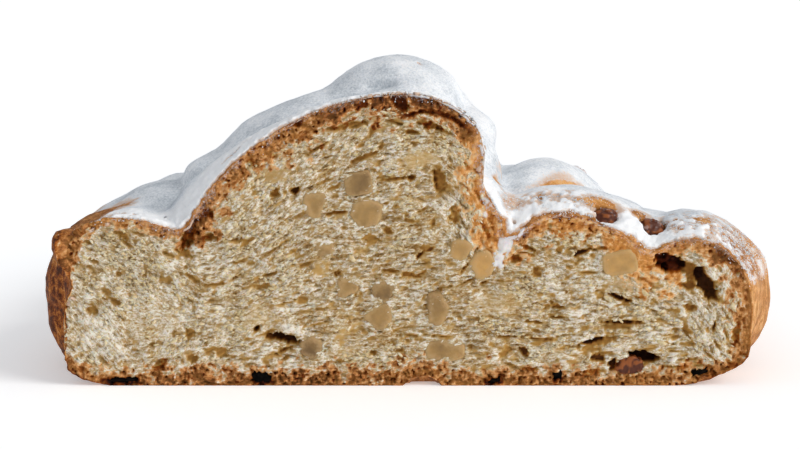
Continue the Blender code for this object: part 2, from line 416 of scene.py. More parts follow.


# holes that stand out: place, half sizes, turn in degrees up to the right, depth, and the darkness of
# the shade painted in them
placedHoles = table(
    "at half turn depth dark",
    ((-9.4, 50.6), (3.6, 0.55), 24, 1.3, 0.55),
    ((-5.6, 52.9), (1.4, 0.5), 62, 1.1, 0.5),
    ((-7.6, 56.4), (1.7, 0.6), 66, 1.1, 0.55),
    ((-2.4, 45.9), (4.1, 0.45), 6, 1.2, 0.6),
    ((1.0, 46.0), (1.0, 0.6), 0, 1.4, 0.72),
    ((7.2, 45.3), (2.8, 1.35), 100, 1.8, 0.56),
    ((6.2, 45.4), (2.4, 0.45), 98, 2.2, 0.8),
    ((4.8, 57.7), (2.4, 0.85), -14, 1.8, 0.66),
    ((7.0, 56.9), (0.9, 0.7), -20, 2.2, 0.85),
    ((1.2, 56.1), (1.6, 0.55), -4, 1.2, 0.68),
    ((-24.3, 43.2), (1.1, 0.8), 20, 1.6, 0.85),
    ((-35.0, 31.8), (1.7, 0.65), 32, 0.9, 0.45),
    ((-47.0, 24.0), (2.1, 0.6), -35, 1.2, 0.6),
    ((-52.6, 23.4), (1.6, 0.95), -10, 1.1, 0.5),
    ((-69.0, 16.6), (1.5, 1.3), -50, 1.3, 0.58),
    ((-40.7, 7.3), (1.4, 1.25), 0, 1.1, 0.5),
    ((-31.5, 22.0), (2.2, 0.6), 8, 0.9, 0.5),
    ((-23.0, 19.0), (1.6, 0.8), 4, 0.9, 0.45),
    ((47.4, 14.0), (4.4, 0.3), 1, 2.2, 0.97),
    ((46.2, 13.1), (4.2, 0.75), 3, 0.8, 0.42),
    ((40.8, 9.9), (2.8, 0.42), 14, 2.0, 0.95),
    ((42.6, 9.6), (3.4, 0.7), 14, 0.9, 0.45),
    ((46.6, 19.5), (2.5, 0.5), -18, 1.7, 0.9),
    ((33.0, 17.6), (1.7, 0.5), -12, 1.1, 0.6),
    ((-26.6, 10.4), (3.5, 0.85), -13, 3.2, 0.97),
    ((-29.8, 10.9), (1.5, 0.8), 0, 2.0, 0.8),
    ((-33.0, 12.6), (1.0, 0.5), 55, 1.8, 1.0),
    ((-13.0, 57.4), (5.0, 0.75), 9, 1.5, 0.55),
    ((1.2, 60.1), (2.3, 0.46), 16, 1.6, 0.95),
    ((4.6, 60.6), (2.6, 0.5), -2, 1.6, 0.95),
    ((8.4, 59.8), (2.6, 0.52), -20, 1.7, 0.97),
    ((11.6, 58.0), (2.3, 0.5), -36, 1.6, 0.95),
    ((-1.4, 62.4), (2.2, 1.3), -40, 2.8, 0.9),
    ((-24.0, 58.2), (1.5, 0.9), 10, 2.2, 0.92),
    ((-9.5, 62.0), (1.5, 0.7), 8, 1.4, 0.85),
    ((-47.4, 33.6), (3.7, 1.45), 66, 4.2, 0.86),
    ((-43.3, 38.2), (1.4, 0.9), 20, 2.2, 0.93),
    ((-45.6, 36.4), (1.0, 0.7), 40, 2.0, 0.9),
    ((-49.0, 29.6), (2.2, 0.9), -20, 1.6, 0.6),
    ((-43.2, 32.8), (1.5, 0.9), 10, 1.6, 0.75),
    ((-62.0, 33.4), (1.7, 0.8), -28, 1.2, 0.7),
    ((57.4, 27.2), (3.4, 1.9), -20, 5.0, 1.25),
    ((65.4, 22.6), (3.5, 1.6), -50, 3.4, 0.78),
    ((66.6, 20.2), (1.6, 1.3), -20, 3.0, 0.68),
    ((61.4, 25.2), (2.6, 2.2), -30, 1.9, 0.5),
    ((62.0, 17.2), (1.3, 0.9), -10, 1.2, 0.55),
    ((72.2, 11.4), (2.6, 0.9), 82, 1.0, 0.6),
    ((67.4, 13.0), (1.4, 0.25), 84, 1.0, 0.85),
    ((52.2, 6.2), (3.2, 1.15), -8, 4.0, 0.98),
    ((45.2, 4.6), (0.9, 1.3), 0, 2.0, 0.9),
    ((42.0, 6.0), (1.6, 0.85), -6, 1.5, 0.72),
    ((25.9, 7.4), (1.3, 0.75), -34, 1.4, 0.72),
    ((-4.2, 34.3), (1.1, 0.9), -10, 1.1, 0.62),
    ((5.9, 36.2), (0.8, 0.7), 0, 1.0, 0.55),
    ((1.0, 36.6), (0.8, 0.6), 10, 1.0, 0.5),
    ((2.8, 29.0), (1.6, 0.45), 42, 1.5, 0.85),
    ((5.2, 30.4), (1.1, 0.35), 28, 1.2, 0.82),
    ((0.6, 24.6), (2.6, 0.55), -12, 1.2, 0.62),
    ((3.4, 25.0), (1.2, 0.45), 30, 1.1, 0.6),
    ((-15.0, 24.8), (1.0, 0.7), -20, 1.4, 0.85),
    ((-11.0, 21.0), (0.5, 1.4), -20, 1.0, 0.78),
    ((4.6, 17.6), (1.3, 0.45), -30, 1.3, 0.78),
    ((14.6, 28.8), (2.6, 0.24), 62, 1.0, 0.75),
    ((12.6, 26.2), (1.6, 0.3), 48, 1.0, 0.75),
    ((17.0, 22.9), (1.2, 0.4), 32, 1.2, 0.75),
    ((23.8, 28.2), (1.3, 0.9), 20, 1.2, 0.65),
    ((28.4, 25.0), (0.9, 1.2), 20, 1.0, 0.5),
    ((38.0, 29.6), (2.3, 0.5), 20, 1.3, 0.82),
    ((7.4, 10.9), (2.0, 0.4), -4, 1.0, 0.65),
    ((29.5, 10.4), (2.8, 0.22), -3, 0.9, 0.85),
    ((15.6, 42.0), (3.0, 0.35), -60, 1.0, 0.6),
    ((17.2, 34.6), (2.4, 0.5), -62, 1.2, 0.62),
    ((-4.8, 40.4), (1.2, 0.35), 24, 0.9, 0.6),
    ((22.1, 33.6), (1.8, 0.55), 80, 1.6, 0.82),
    ((59.6, 25.4), (2.2, 0.9), -40, 3.0, 0.72),
    ((64.0, 25.0), (1.2, 1.6), -20, 3.4, 0.86),
    ((28.6, 35.6), (3.6, 0.35), 30, 1.0, 0.42),
    ((31.6, 36.0), (3.2, 0.3), 16, 0.8, 0.4),
    ((35.4, 37.6), (4.6, 0.35), 2, 1.0, 0.52),
    ((37.6, 35.9), (4.4, 0.3), -8, 0.8, 0.4),
    ((41.8, 36.8), (3.0, 0.4), -14, 1.0, 0.48),
    ((44.0, 35.0), (2.4, 0.3), -24, 0.8, 0.5),
)


# smooth spots where the dough is close and shows hardly any pores
smoothSpots = table(
    "at half turn dark",
    ((-29.5, 46.8), (4.2, 2.0), 4, 0.36),
    ((-56.0, 14.4), (5.6, 5.2), 30, 0.1),
    ((2.6, 50.2), (5.0, 2.4), 14, 0.3),
    ((20.0, 18.6), (6.5, 2.8), 4, 0.2),
    ((46.2, 22.6), (4.0, 1.6), -20, 0.28),
    ((-33.5, 15.5), (5.2, 3.0), 10, 0.22),
    ((-13.0, 8.0), (4.0, 2.2), 0, 0.2),
    ((-19.0, 26.0), (2.2, 1.7), 20, 0.42),
    ((-14.4, 10.8), (1.8, 1.6), 30, 0.4),
)


# pale flakes of crumb that stand out from the cut
paleFlakes = table(
    "at half turn raised",
    ((-67.5, 12.6), (4.2, 1.9), -38, 0.45),
    ((-64.0, 8.6), (3.2, 1.5), -28, 0.4),
    ((-70.6, 10.4), (2.0, 1.2), -50, 0.3),
    ((67.4, 24.4), (1.9, 0.8), -32, 0.5),
    ((69.6, 22.6), (1.6, 0.7), -50, 0.5),
    ((65.6, 10.4), (1.6, 1.1), -20, 0.5),
    ((60.0, 24.0), (1.4, 1.0), -40, 0.4),
    ((-26.4, 13.2), (1.7, 0.8), -10, 0.5),
    ((-23.6, 11.9), (1.3, 0.6), -20, 0.45),
    ((6.6, 39.6), (2.6, 0.8), -30, 0.4),
    ((12.6, 33.4), (1.0, 2.2), 20, 0.4),
    ((-45.0, 35.4), (1.3, 1.0), 0, 0.3),
    ((31.0, 22.6), (2.6, 0.8), -10, 0.35),
    ((36.6, 16.4), (2.4, 0.7), 0, 0.35),
    ((-52.6, 27.0), (2.2, 1.2), -20, 0.35),
)


# sinks the dough's small pores, drawn out and turned with it, where it isn't quiet, and paints
# shade in them that darkens with their depth
def sinkPores(holes, holeShadeAndTone, quiet, ragged):
    rng = np.random.default_rng(cutCrumb["seed"])
    for kind in pores:
        for _ in range(kind["count"]):
            x, z = rng.uniform(*cutCrumb["across"]), rng.uniform(*cutCrumb["upward"])
            column, row = (int(cell) for cell in gridPlace(x, z))
            drawn = flowDrawn[row, column]
            slim = max(drawn * rng.uniform(0.6, 1.25) * kind["slim"], 1) ** 0.5
            middle = kind["length"] * math.exp(np.clip(rng.normal(0, kind["uneven"]), -0.6, 0.6))
            half = (middle * slim, middle / slim)
            turn = flowAngle[row, column] + rng.normal(0, 0.2)
            depth = kind["depth"] * half[1] * rng.uniform(0.6, 1.4)
            dark = np.clip(0.16 + 0.3 * depth + rng.normal(0, 0.05), 0.15, kind["darkest"])
            if quiet[row, column] < rng.uniform(0.2, 0.9) and drawn >= kind["leastDrawn"]:
                sinkHole(holes, ragged, (x, z), half, turn, depth, cutCrumb["soft"])
                sinkHole(holeShadeAndTone, ragged, (x, z), half, turn, dark, cutCrumb["soft"])


# the crumb over the cut: how deep its surface and its holes lie, the shade painted in the holes
# with the darker tone of its close spots, and how bright the dough is, with a painted highlight
# where its torn relief stands out and painted shade where it dips
def drawRelief(peelGap):
    ragged = 0.16 * isotropic(11, 1.1) + 0.07 * isotropic(12, 0.6)
    holes, holeShadeAndTone, quiet = (np.zeros(gridX.shape) for _ in range(3))
    for spot in smoothSpots:
        sinkSpot(quiet, 4 * ragged, spot, 1, 1.0)
    sinkPores(holes, holeShadeAndTone, quiet, ragged)
    for hole in placedHoles:
        sinkSpot(holes, ragged, hole, hole["depth"])
        sinkSpot(holeShadeAndTone, ragged, hole, hole["dark"])
    for spot in smoothSpots:
        sinkSpot(holeShadeAndTone, 4 * ragged, spot, 0.8 * spot["dark"], 1.0)

    layers, threads = flowing(100, 5.0, 0.8), flowing(200, 2.4, 0.5)
    grit, waves = isotropic(300, 0.55), isotropic(400, 7.0)
    left = smooth(-gridX, 35, 55)
    calm = 1 - 0.6 * quiet - 0.2 * left * (1 - quiet)
    holeShadeAndTone = holeShadeAndTone * (1 - 0.25 * left + 0.22 * smooth(gridX, 5, 35))
    torn = cutCrumb["layers"] * layers + cutCrumb["threads"] * threads + cutCrumb["grit"] * grit
    relief = np.maximum(cutCrumb["ground"] + cutCrumb["waves"] * waves + calm * torn, cutCrumb["least"])
    # painted highlight where the torn relief stands proud, painted shade where it dips
    lightShadeAndTone = calm * (-0.6 * layers - 0.8 * threads - 0.65 * grit) + 0.5 * isotropic(401, 3.4)
    lightShadeAndTone = lightShadeAndTone + 0.75 * smooth(np.abs(gridX - 2), 12, 42) + 0.14 * smooth(gridX, 12, 42)

    for flake in paleFlakes:
        raised = np.zeros(gridX.shape)
        sinkSpot(raised, 2 * ragged, flake, 1, 0.5)
        relief = relief - raised * np.minimum(flake["raised"], relief - cutCrumb["least"])
        lightShadeAndTone = lightShadeAndTone + raised * (1.6 - 0.5 * lightShadeAndTone)
        holeShadeAndTone = holeShadeAndTone * (1 - raised)
        holes = holes * (1 - raised)

    # under the peel the crumb lies deeper, and round it a little crumb stands proud and is painted
    # brighter as a highlight
    gap = peelGap + 0.15 + 0.3 * isotropic(601, 1.7) + 0.25 * isotropic(602, 0.7)
    gap = gap + 1.3 * smooth(threads, 0.7, 2.0)
    under = 1 - smooth(gap, -0.8, 0.1)
    beside = smooth(gap, -0.8, 0.1) * (1 - smooth(gap, 0.6, 1.6))
    relief = relief * (1 - 0.75 * beside) + 0.02 * beside
    relief = relief * (1 - under) + cutCrumb["underPeel"] * under
    lightShadeAndTone = lightShadeAndTone * (1 - 0.2 * beside - 0.7 * under) + 0.15 * beside
    holes = holes * (1 - under)
    holeShadeAndTone = holeShadeAndTone * (1 - 0.7 * beside) * (1 - under)
    print("crumb relief:", sum(kind["count"] for kind in pores), "pores and", len(placedHoles), "holes")
    return relief, holes, holeShadeAndTone, lightShadeAndTone


farOff = 9.0  # no gap counts as wider than this
faceDepth = 0.9  # what lies this close behind the cut makes a node's face there


# how far the grid's points are outside the nearest of some nodes at the cut; a node's face may
# have straight cuts, each with its direction in degrees and how far out from the middle it is
def gapTo(names, faces=None):
    nearest = np.full(gridX.shape, farOff)
    for name in names:
        bm = joinedNodes([name])
        atCut = [v for v in bm.verts if v.co.y < (cutY + faceDepth) * mm]
        points = np.array([(v.co.x / mm, v.co.z / mm) for v in atCut])
        bm.free()
        if not len(points):
            continue
        middle = points.mean(axis=0)
        outside = np.full(gridX.shape, -farOff)
        sides = [(angle, None) for angle in range(0, 360, 15)]
        for angle, reach in sides + (faces[name]["cuts"] if faces else []):
            across, up = math.cos(math.radians(angle)), math.sin(math.radians(angle))
            if reach is None:
                reach = ((points - middle) @ (across, up)).max()
            out = (gridX - middle[0]) * across + (gridZ - middle[1]) * up
            outside = np.maximum(outside, out - reach)
        nearest = np.minimum(nearest, outside)
    return nearest


loaf = {
    "skinVoxel": 1.5,
    "closed": 0.75,  # how much the fillings of the pockets at the cut are grown to close them
    "cutDivisions": 3,  # extra cuts of each quad on the cut face
    "fineBand": 3.4,  # the skin this close behind the cut is as fine as the cut
    "settle": 0.3,  # the skin lies this much lower under full sugar
    "cutSnap": 0.55,  # skin this many voxels behind the plane of the cut is flattened onto it
    "baseSnap": 0.5,
    "outlineSnap": 1.3,  # the rim of the cut is moved this far at most onto the true outline
    "outlineFrom": 0.8,
    "cornerLift": 2.8,  # the base curls up towards its right side
    "cornerFrom": 58,
    "cornerTo": 77,
    "cornerHeight": 14,  # and the skin over it follows up to here
    "crustInto": 0.55,  # how far the cut crust lies behind the plane
    "crustFlakes": 0.3,  # and what its flakes, sheets and pits add to that
    "crustSheets": 0.35,
    "crustPits": 0.8,
    "leastInto": 0.02,  # nothing on the cut stands nearer to its plane
    "underRaisins": 1.6,  # how deep the cut lies under the raisins in it
    # the hollows that the relief carves again in more detail
    "plugs": table(
        "at half turn",
        ((57.4, 27.0), (3.9, 7, 2.2), -8),
        ((65.8, 21.4), (4.5, 7, 2.4), -44),
        ((7.2, 45.3), (1.8, 5, 3.0), 8),
        ((-28.2, 10.6), (3.9, 5, 1.5), 10),
    ),
}


# points along the edge of the CAD loaf's cut face
def cadOutline():
    bm = joinedNodes(["stollen_loaf"])
    plane = cutY * mm
    onCut = {f for f in bm.faces if all(abs(v.co.y - plane) < 2e-6 for v in f.verts)}
    points = []
    for edge in bm.edges:
        if len([face for face in edge.link_faces if face in onCut]) == 1:
            start, end = (v.co.copy() for v in edge.verts)
            pieces = max(1, int((end - start).length / (0.15 * mm)))
            points += [start.lerp(end, step / pieces) for step in range(pieces)]
    bm.free()
    return treeOf(points)


# the CAD loaf in even quads, with the pockets at the cut closed and its cut face flat
def evenLoaf():
    plane, voxel = cutY * mm, loaf["skinVoxel"] * mm
    filling = joinedNodes(peelNodes + footNodes + burntNodes, loaf["closed"])
    for plug in loaf["plugs"]:
        x, z = plug["at"]
        place = Matrix.Translation(Vector((x, cutY, z)) * mm)
        place = place @ Matrix.Rotation(math.radians(plug["turn"]), 4, "Y")
        place = place @ Matrix.Diagonal((*(Vector(plug["half"]) * mm), 1))
        made = bmesh.ops.create_uvsphere(
            filling, u_segments=24, v_segments=12, radius=1, matrix=place
        )
        for vert in made["verts"]:
            vert.co.y = max(vert.co.y, plane)
    source = meshOf(filling, "filling")
    filled = joinedNodes(["stollen_loaf"])
    filled.from_mesh(source)
    bpy.data.meshes.remove(source)
    mesh = evenSkin(filled, loaf["skinVoxel"])

    bm = bmesh.new()
    bm.from_mesh(mesh)
    for vert in bm.verts:
        if vert.co.y < plane + loaf["cutSnap"] * voxel:
            vert.co.y = plane
        if vert.co.z < loaf["baseSnap"] * voxel:
            vert.co.z = 0
    front = {face for face in bm.faces if all(abs(v.co.y - plane) < 1e-7 for v in face.verts)}
    rim = {v for face in front for v in face.verts if not front.issuperset(v.link_faces)}
    outline = cadOutline()
    for vert in rim:
        if vert.co.z > loaf["outlineFrom"] * mm:
            place, _, distance = outline.find(vert.co)
            if distance < loaf["outlineSnap"] * mm:
                vert.co.x, vert.co.z = place.x, place.z
    for vert in bm.verts:
        raised = loaf["cornerLift"] * smooth(vert.co.x / mm, loaf["cornerFrom"], loaf["cornerTo"])
        vert.co.z += raised * mm * max(0, 1 - vert.co.z / mm / loaf["cornerHeight"])
    bm.to_mesh(mesh)
    bm.free()
    print("even skin", len(mesh.polygons), "faces")
    return mesh


# how close points are to a spot's middle, 1 in it and 0 well away
def nearSpot(places, spot):
    offset = (places - np.array(spot["at"])) / np.array(spot["half"])
    return np.exp(-0.8 * (offset**2).sum(1))


# what some spots add up to at points
def sumSpots(places, spots, key):
    return sum(spot[key] * nearSpot(places, spot) for spot in spots)


# how close points are to a line's middle, 1 on it and 0 well away
def nearLine(places, line):
    start, end = np.array(line["start"]), np.array(line["end"])
    share = np.clip((places - start) @ (end - start) / ((end - start) ** 2).sum(), 0, 1)
    gap = np.linalg.norm(places - start - share[:, None] * (end - start), axis=1)
    return np.exp(-((gap / line["wide"]) ** 2))


sugar = {
    "thick": 0.4,  # how far the full layer stands above the skin
    "thickerAtCut": 0.2,
    "shell": 0.8,
    "inset": 0.35,  # how far it stays behind the plane of the cut
    "insetThin": 0.6,  # and how much farther where it is thin
    "loose": (5, 12),  # how far behind the cut it lies loose, and where it no longer does
    "lumps": 0.08,  # how high its small lumps, its waves and the clods where it is loose are
    "waves": 0.14,
    "clods": 0.35,
    "leave": -0.25,  # faces with less cover than this are left out
    "fineBand": 8.0,
    "mediumBand": 34.0,
    "fullest": 1.25,  # the cover's limit, where 1 hides the skin
    "slopes": (-0.05, 0.42),  # how far up the skin faces where it starts to lie and lies full
    "heights": (9, 17),  # none below the first, nothing missing above the second
    "knockedOff": (0.2, 1.2),  # the same for how far behind the cut
    "patches": (14, 3.2),  # sizes of its large and small patches
    "patchy": (0.22, 0.2),  # how much they change the cover at the cut
    "patchyBehind": (0.4, 0.15),  # and how much more towards the far end
}


# where the sugar is thin or rubbed off
sugarBare = table(
    "at half amount",
    ((90, -44, 20), (16.5, 70, 26), 2.2),
    ((-85, -30, 22), (16, 80, 15), 2.4),
    ((-79.5, -66, 35), (8.5, 22, 8), 3.0),
    ((40.5, -33.5, 37.4), (10.5, 6, 3.3), 3.0),
    ((42.8, -65, 39.4), (4.2, 3.2, 2.2), 3.2),
    ((49.5, -62, 36.5), (2.2, 2.4, 1.4), 1.5),
    ((52, -60, 36), (2.4, 3, 1.6), 1.9),
    ((36, -71, 39.5), (7, 1.8, 3), 0.8),
    ((20, -57, 43.4), (2.0, 2.2, 1.0), 2.8),
    ((-66.5, -44, 36.6), (5.0, 6, 2.2), 1.7),
    ((17, -62, 49), (1.5, 5, 5), 0.5),
    ((3, -39.4, 67.4), (0.8, 0.8, 0.8), 2.0),
    ((22.5, -65, 40), (4, 6, 5), 1.05),
    ((21, -50, 45), (3, 8, 5), 0.6),
    ((73.5, -60, 30), (5, 9, 4), 0.9),
)


# where it is speckled with bare crust
sugarSpeckled = table(
    "at half amount",
    ((32, -65, 41), (8, 4, 3), 1.5),
    ((60, -64, 35), (6, 6, 3), 1.5),
    ((72, -62, 31), (8, 9, 6), 2.1),
    ((-60, -68, 38), (8, 3, 3), 0.8),
    ((-32, -67, 55), (8, 3, 5), 0.5),
)


# scratches through the sugar, and the cracks in the crust under them
scratches = table(
    "start end wide amount crack",
    ((-39.7, -66.9, 49.1), (-35.6, -64.2, 52.8), 0.75, 2.5, 1.0),
    ((-36.6, -66.4, 51.3), (-33.3, -63.8, 54.6), 0.6, 2.3, 1.0),
    ((-66.5, -45, 36.8), (-61.5, -41, 37.6), 0.7, 1.5, 0),
    ((-9.0, -45.6, 63.4), (-3.4, -46.2, 64.4), 0.9, 0.3, 1.4),
    ((68.7, -65.6, 33.4), (71.4, -67.3, 30.8), 0.35, 1.6, 0.7),
    ((71.4, -67.3, 30.8), (74.6, -67.8, 26.2), 0.4, 1.6, 0.9),
    ((66.0, -63.5, 34.2), (68.0, -65.0, 33.8), 0.3, 1.2, 0.4),
    ((23.4, -69.6, 36.2), (22.2, -68.6, 40.4), 0.5, 1.9, 0.3),
)


# sugar on the skin: full at 1 and more, none at 0 and less
def sugarCover(places, normals):
    height = places[:, 2]
    cover = 1.5 * smooth(normals[:, 2], *sugar["slopes"]) + 0.02 * (height - 30)
    cover = np.minimum(cover, sugar["fullest"]) - sumSpots(places, sugarBare, "amount")
    for line in scratches:
        cover = cover - line["amount"] * nearLine(places, line)
    cover = cover - 1.4 * (1 - smooth(height, *sugar["heights"]))
    # it was knocked off along the cut, in crumbs
    behind = places[:, 1] - cutY + 1.1 * cloud(places, 4, 7) + 0.7 * cloud(places, 1.2, 8, 2)
    cover = cover - 1.8 * (1 - smooth(behind, *sugar["knockedOff"]))
    far = smooth(places[:, 1], -40, -10)
    large, small = (a + b * far for a, b in zip(sugar["patchy"], sugar["patchyBehind"]))
    cover = cover + large * cloud(places, sugar["patches"][0], 5)
    cover = cover + small * cloud(places, sugar["patches"][1], 6, 3)
    speckled = sumSpots(places, sugarSpeckled, "amount")
    return cover - speckled * (0.5 + 1.4 * cloud(places, 1.3, 9, 2))


# bulges and dents that the baked skin and its sugar share
skinShapes = table(
    "at half push",
    ((-75, -69, 31), (3.2, 5, 4.4), 2.5),
    ((-75.8, -70, 34.2), (1.3, 3, 1.5), 1.7),
    ((-72.9, -70, 35.6), (1.3, 4, 2.2), -2.4),
    ((-70, -60, 37), (6, 11, 4), -2.8),
    ((-77, -62, 13), (4, 10, 5.5), -2.1),
    ((-49.5, -42, 43), (5, 9, 4), 3.2),
    ((-19, -42, 59.5), (8, 9, 4), 1.3),
    ((14.6, -43, 59.5), (3.4, 10, 4), -2.9),
    ((18.8, -39, 53.2), (3.2, 6, 4), 2.1),
    ((25, 41, 34), (7, 16, 8), -3.2),
    ((26.5, 14, 38), (5, 13, 6), -2.6),
    ((48, -25, 36.5), (11, 14, 8), -3.2),
    ((-6.0, -46, 64), (4.6, 1.7, 3), -1.5),
    ((36, -22, 41.5), (7, 9, 5), 1.2),
    ((27, -36, 38.5), (2.2, 2.2, 2.2), 1.4),
    ((60, 8, 28), (14, 16, 9), -2.3),
    ((23, -22, 42), (4, 10, 4), -1.6),
    ((-43, -36, 48), (4, 9, 4), -1.3),
    ((-67, -31, 36), (5, 9, 4), -1.5),
    ((79.5, -54, 25), (4, 12, 5), 1.0),
    ((-56.6, 5, 34), (5, 14, 6), 0.9),
)


# how far those push the skin out at points on it
def skinForm(places):
    return sumSpots(places, skinShapes, "push")


skin = {
    "lumps": 0.22,  # how high its lumps of 7 mm are, and its small ones of 2 to 3 mm
    "smallLumps": 0.1,
    "tornFrom": (66, 74),  # how far left the torn side begins and is fully torn
    "tornBehind": (14, 30),  # and where it ends behind the cut
    "baked": 0.58,  # how dark it is baked, and how much darker underneath
    "bakedUnder": 0.25,
}


# the baked skin's own lumps and its cracks
def skinLumps(places):
    lumps = skin["lumps"] * cloud(places, 7, 1, 3) + skin["smallLumps"] * cloud(places, 2.4, 2, 2)
    behind = places[:, 1] - cutY
    torn = smooth(-places[:, 0], *skin["tornFrom"]) * (1 - smooth(behind, *skin["tornBehind"]))
    lumps = lumps + torn * (0.6 * cloud(places, 5, 13) + 0.5 * cloud(places, 2.2, 14))
    lumps = lumps + 0.45 * torn * (behind < 4) * cloud(places, 1.3, 15)
    for line in scratches:
        lumps = lumps - line["crack"] * nearLine(places, line)
    return lumps


# where the skin is paler or darker than the rest; on the left wall it is painted darker as shade
skinTones = table(
    "at half bake",
    ((88, -45, 20), (18, 90, 30), -0.12),
    ((40, -33, 38), (11, 7, 6), -0.35),
    ((42, -66, 38.5), (6, 5, 5), -0.3),
    # the left wall: brown crust, painted darker still as shade
    ((-82, -45, 14), (12, 60, 12), 0.6),
    ((-78, -68, 32), (5, 9, 6), 0.25),
    ((19, -62, 46), (3, 9, 8), -0.35),
)


# how dark the skin is baked, from 0 to 1, with painted shade on the left wall
def skinBake(places, normals):
    bake = skin["baked"] + skin["bakedUnder"] * smooth(-normals[:, 2], 0.1, 0.8)
    bake = bake + sumSpots(places, skinTones, "bake")
    return np.clip(bake + 0.14 * cloud(places, 16, 21, 3) + 0.08 * cloud(places, 3, 22, 2), 0, 1)


# a little sugar fell on the outer side of the last fold
def skinDust(places):
    outer = smooth(places[:, 0], 60, 72) * smooth(places[:, 2], 6, 26)
    return outer * (0.3 + 0.3 * cloud(places, 5, 24, 3))


# the way out of the loaf at each vertex of its skin, leaving the cut face out
def skinNormals(mesh, places):
    onCut = np.abs(places[:, 1] - cutY) < 1e-3
    total = np.zeros((len(places), 3))
    for face in mesh.polygons:
        corners = np.array(face.vertices)
        if not onCut[corners].all():
            total[corners] += np.array(face.normal) * face.area
    total[onCut, 1] = 0
    return total / np.maximum(np.linalg.norm(total, axis=1), 1e-12)[:, None]


# how the crust changes round the cut: thickness, how dark it is baked, how rough and how flaky
crustPlaces = table(
    "at thick bake rough flaky reach",
    # the crust at the left wall: its high bake paints shade there
    ((-75, 22), 0.5, 0.85, 0.6, 0.0, 5),
    ((-76, 12), 0.5, 0.8, 0.5, 0.0, 6),
    ((-75, 30), 4.2, 0.6, 1.0, 0.2, 4),
    ((-62, 37), 3.2, 0.5, 0.9, 0.4, 7),
    ((-52, 35), 3.4, 0.5, 1.0, 0.3, 5),
    ((-44, 36), 6.6, 0.6, 1.2, 0.2, 5),
    ((-38, 46), 6.0, 0.5, 1.1, 0.3, 6),
    ((-25, 56), 8.2, 0.48, 1.2, 0.3, 6),
    ((-14, 61), 5.4, 0.72, 1.1, 0.5, 6),
    ((-4, 65), 7.2, 0.74, 1.1, 0.8, 6),
    ((6, 65), 7.2, 0.74, 1.1, 0.9, 6),
    ((14, 59), 6.0, 0.62, 0.9, 0.9, 5),
    ((17, 50), 6.2, -0.14, 0.3, 0.4, 5),
    ((18, 41), 6.6, -0.16, 0.35, 0.2, 4),
    ((19.5, 34), 9.0, 0.0, 0.5, 0.3, 4),
    ((25, 33), 3.6, 0.5, 0.8, 0.5, 3),
    ((34, 38), 6.4, 0.06, 0.8, 1.0, 6),
    ((43, 36), 5.2, 0.28, 0.8, 0.8, 4),
    ((50, 30), 10.0, 0.0, 0.2, 0.2, 5),
    ((55, 25), 12.0, 0.0, 0.2, 0.2, 5),
    ((62, 31), 4.2, 0.4, 0.7, 0.3, 5),
    ((70, 28), 5.4, 0.7, 0.55, 0.3, 5),
    ((75, 18), 6.0, 0.56, 0.35, 0.5, 6),
    ((74, 8), 5.0, 0.5, 0.5, 0.4, 5),
    ((66, 2), 4.2, 0.5, 1.5, 0.2, 7),
    ((40, 0), 4.8, 0.5, 1.7, 0.2, 12),
    ((10, 0), 4.8, 0.55, 1.7, 0.2, 14),
    ((-20, 0), 4.8, 0.66, 1.7, 0.2, 14),
    ((-45, 0), 5.2, 0.66, 1.6, 0.2, 12),
    ((-66, 3), 4.4, 0.5, 1.0, 0.5, 6),
)


# streaks of sugar that ran down a crease and show in the cut
sugaredCreases = table(
    "at half turn",
    ((23.9, 34.6), (1.3, 2.0), -30),
    ((21.4, 31.2), (1.4, 2.2), -24),
    ((20.2, 28.2), (1.1, 2.2), -10),
)


# where the knife dragged sugar over the cut crust
smearedSugar = table(
    "at half turn amount",
    ((13, 57), (6, 4), -45, 0.2),
    ((17.8, 47), (8, 1.7), 86, 0.75),
    ((16.4, 50), (5, 2.4), 100, 0.4),
    ((20.6, 37), (4, 1.0), 100, 0.5),
    ((-44, 39), (4, 1.5), 40, 0.3),
    ((44, 37), (4, 1.2), -20, 0.4),
)


# how much of the sugar reaches the cut's edge, by place along the edge
def sugarAbove(along):
    reach = smooth(along[:, 0], -67, -58) * (1 - smooth(along[:, 0], 70, 76))
    return reach * smooth(along[:, 1], 22, 28)
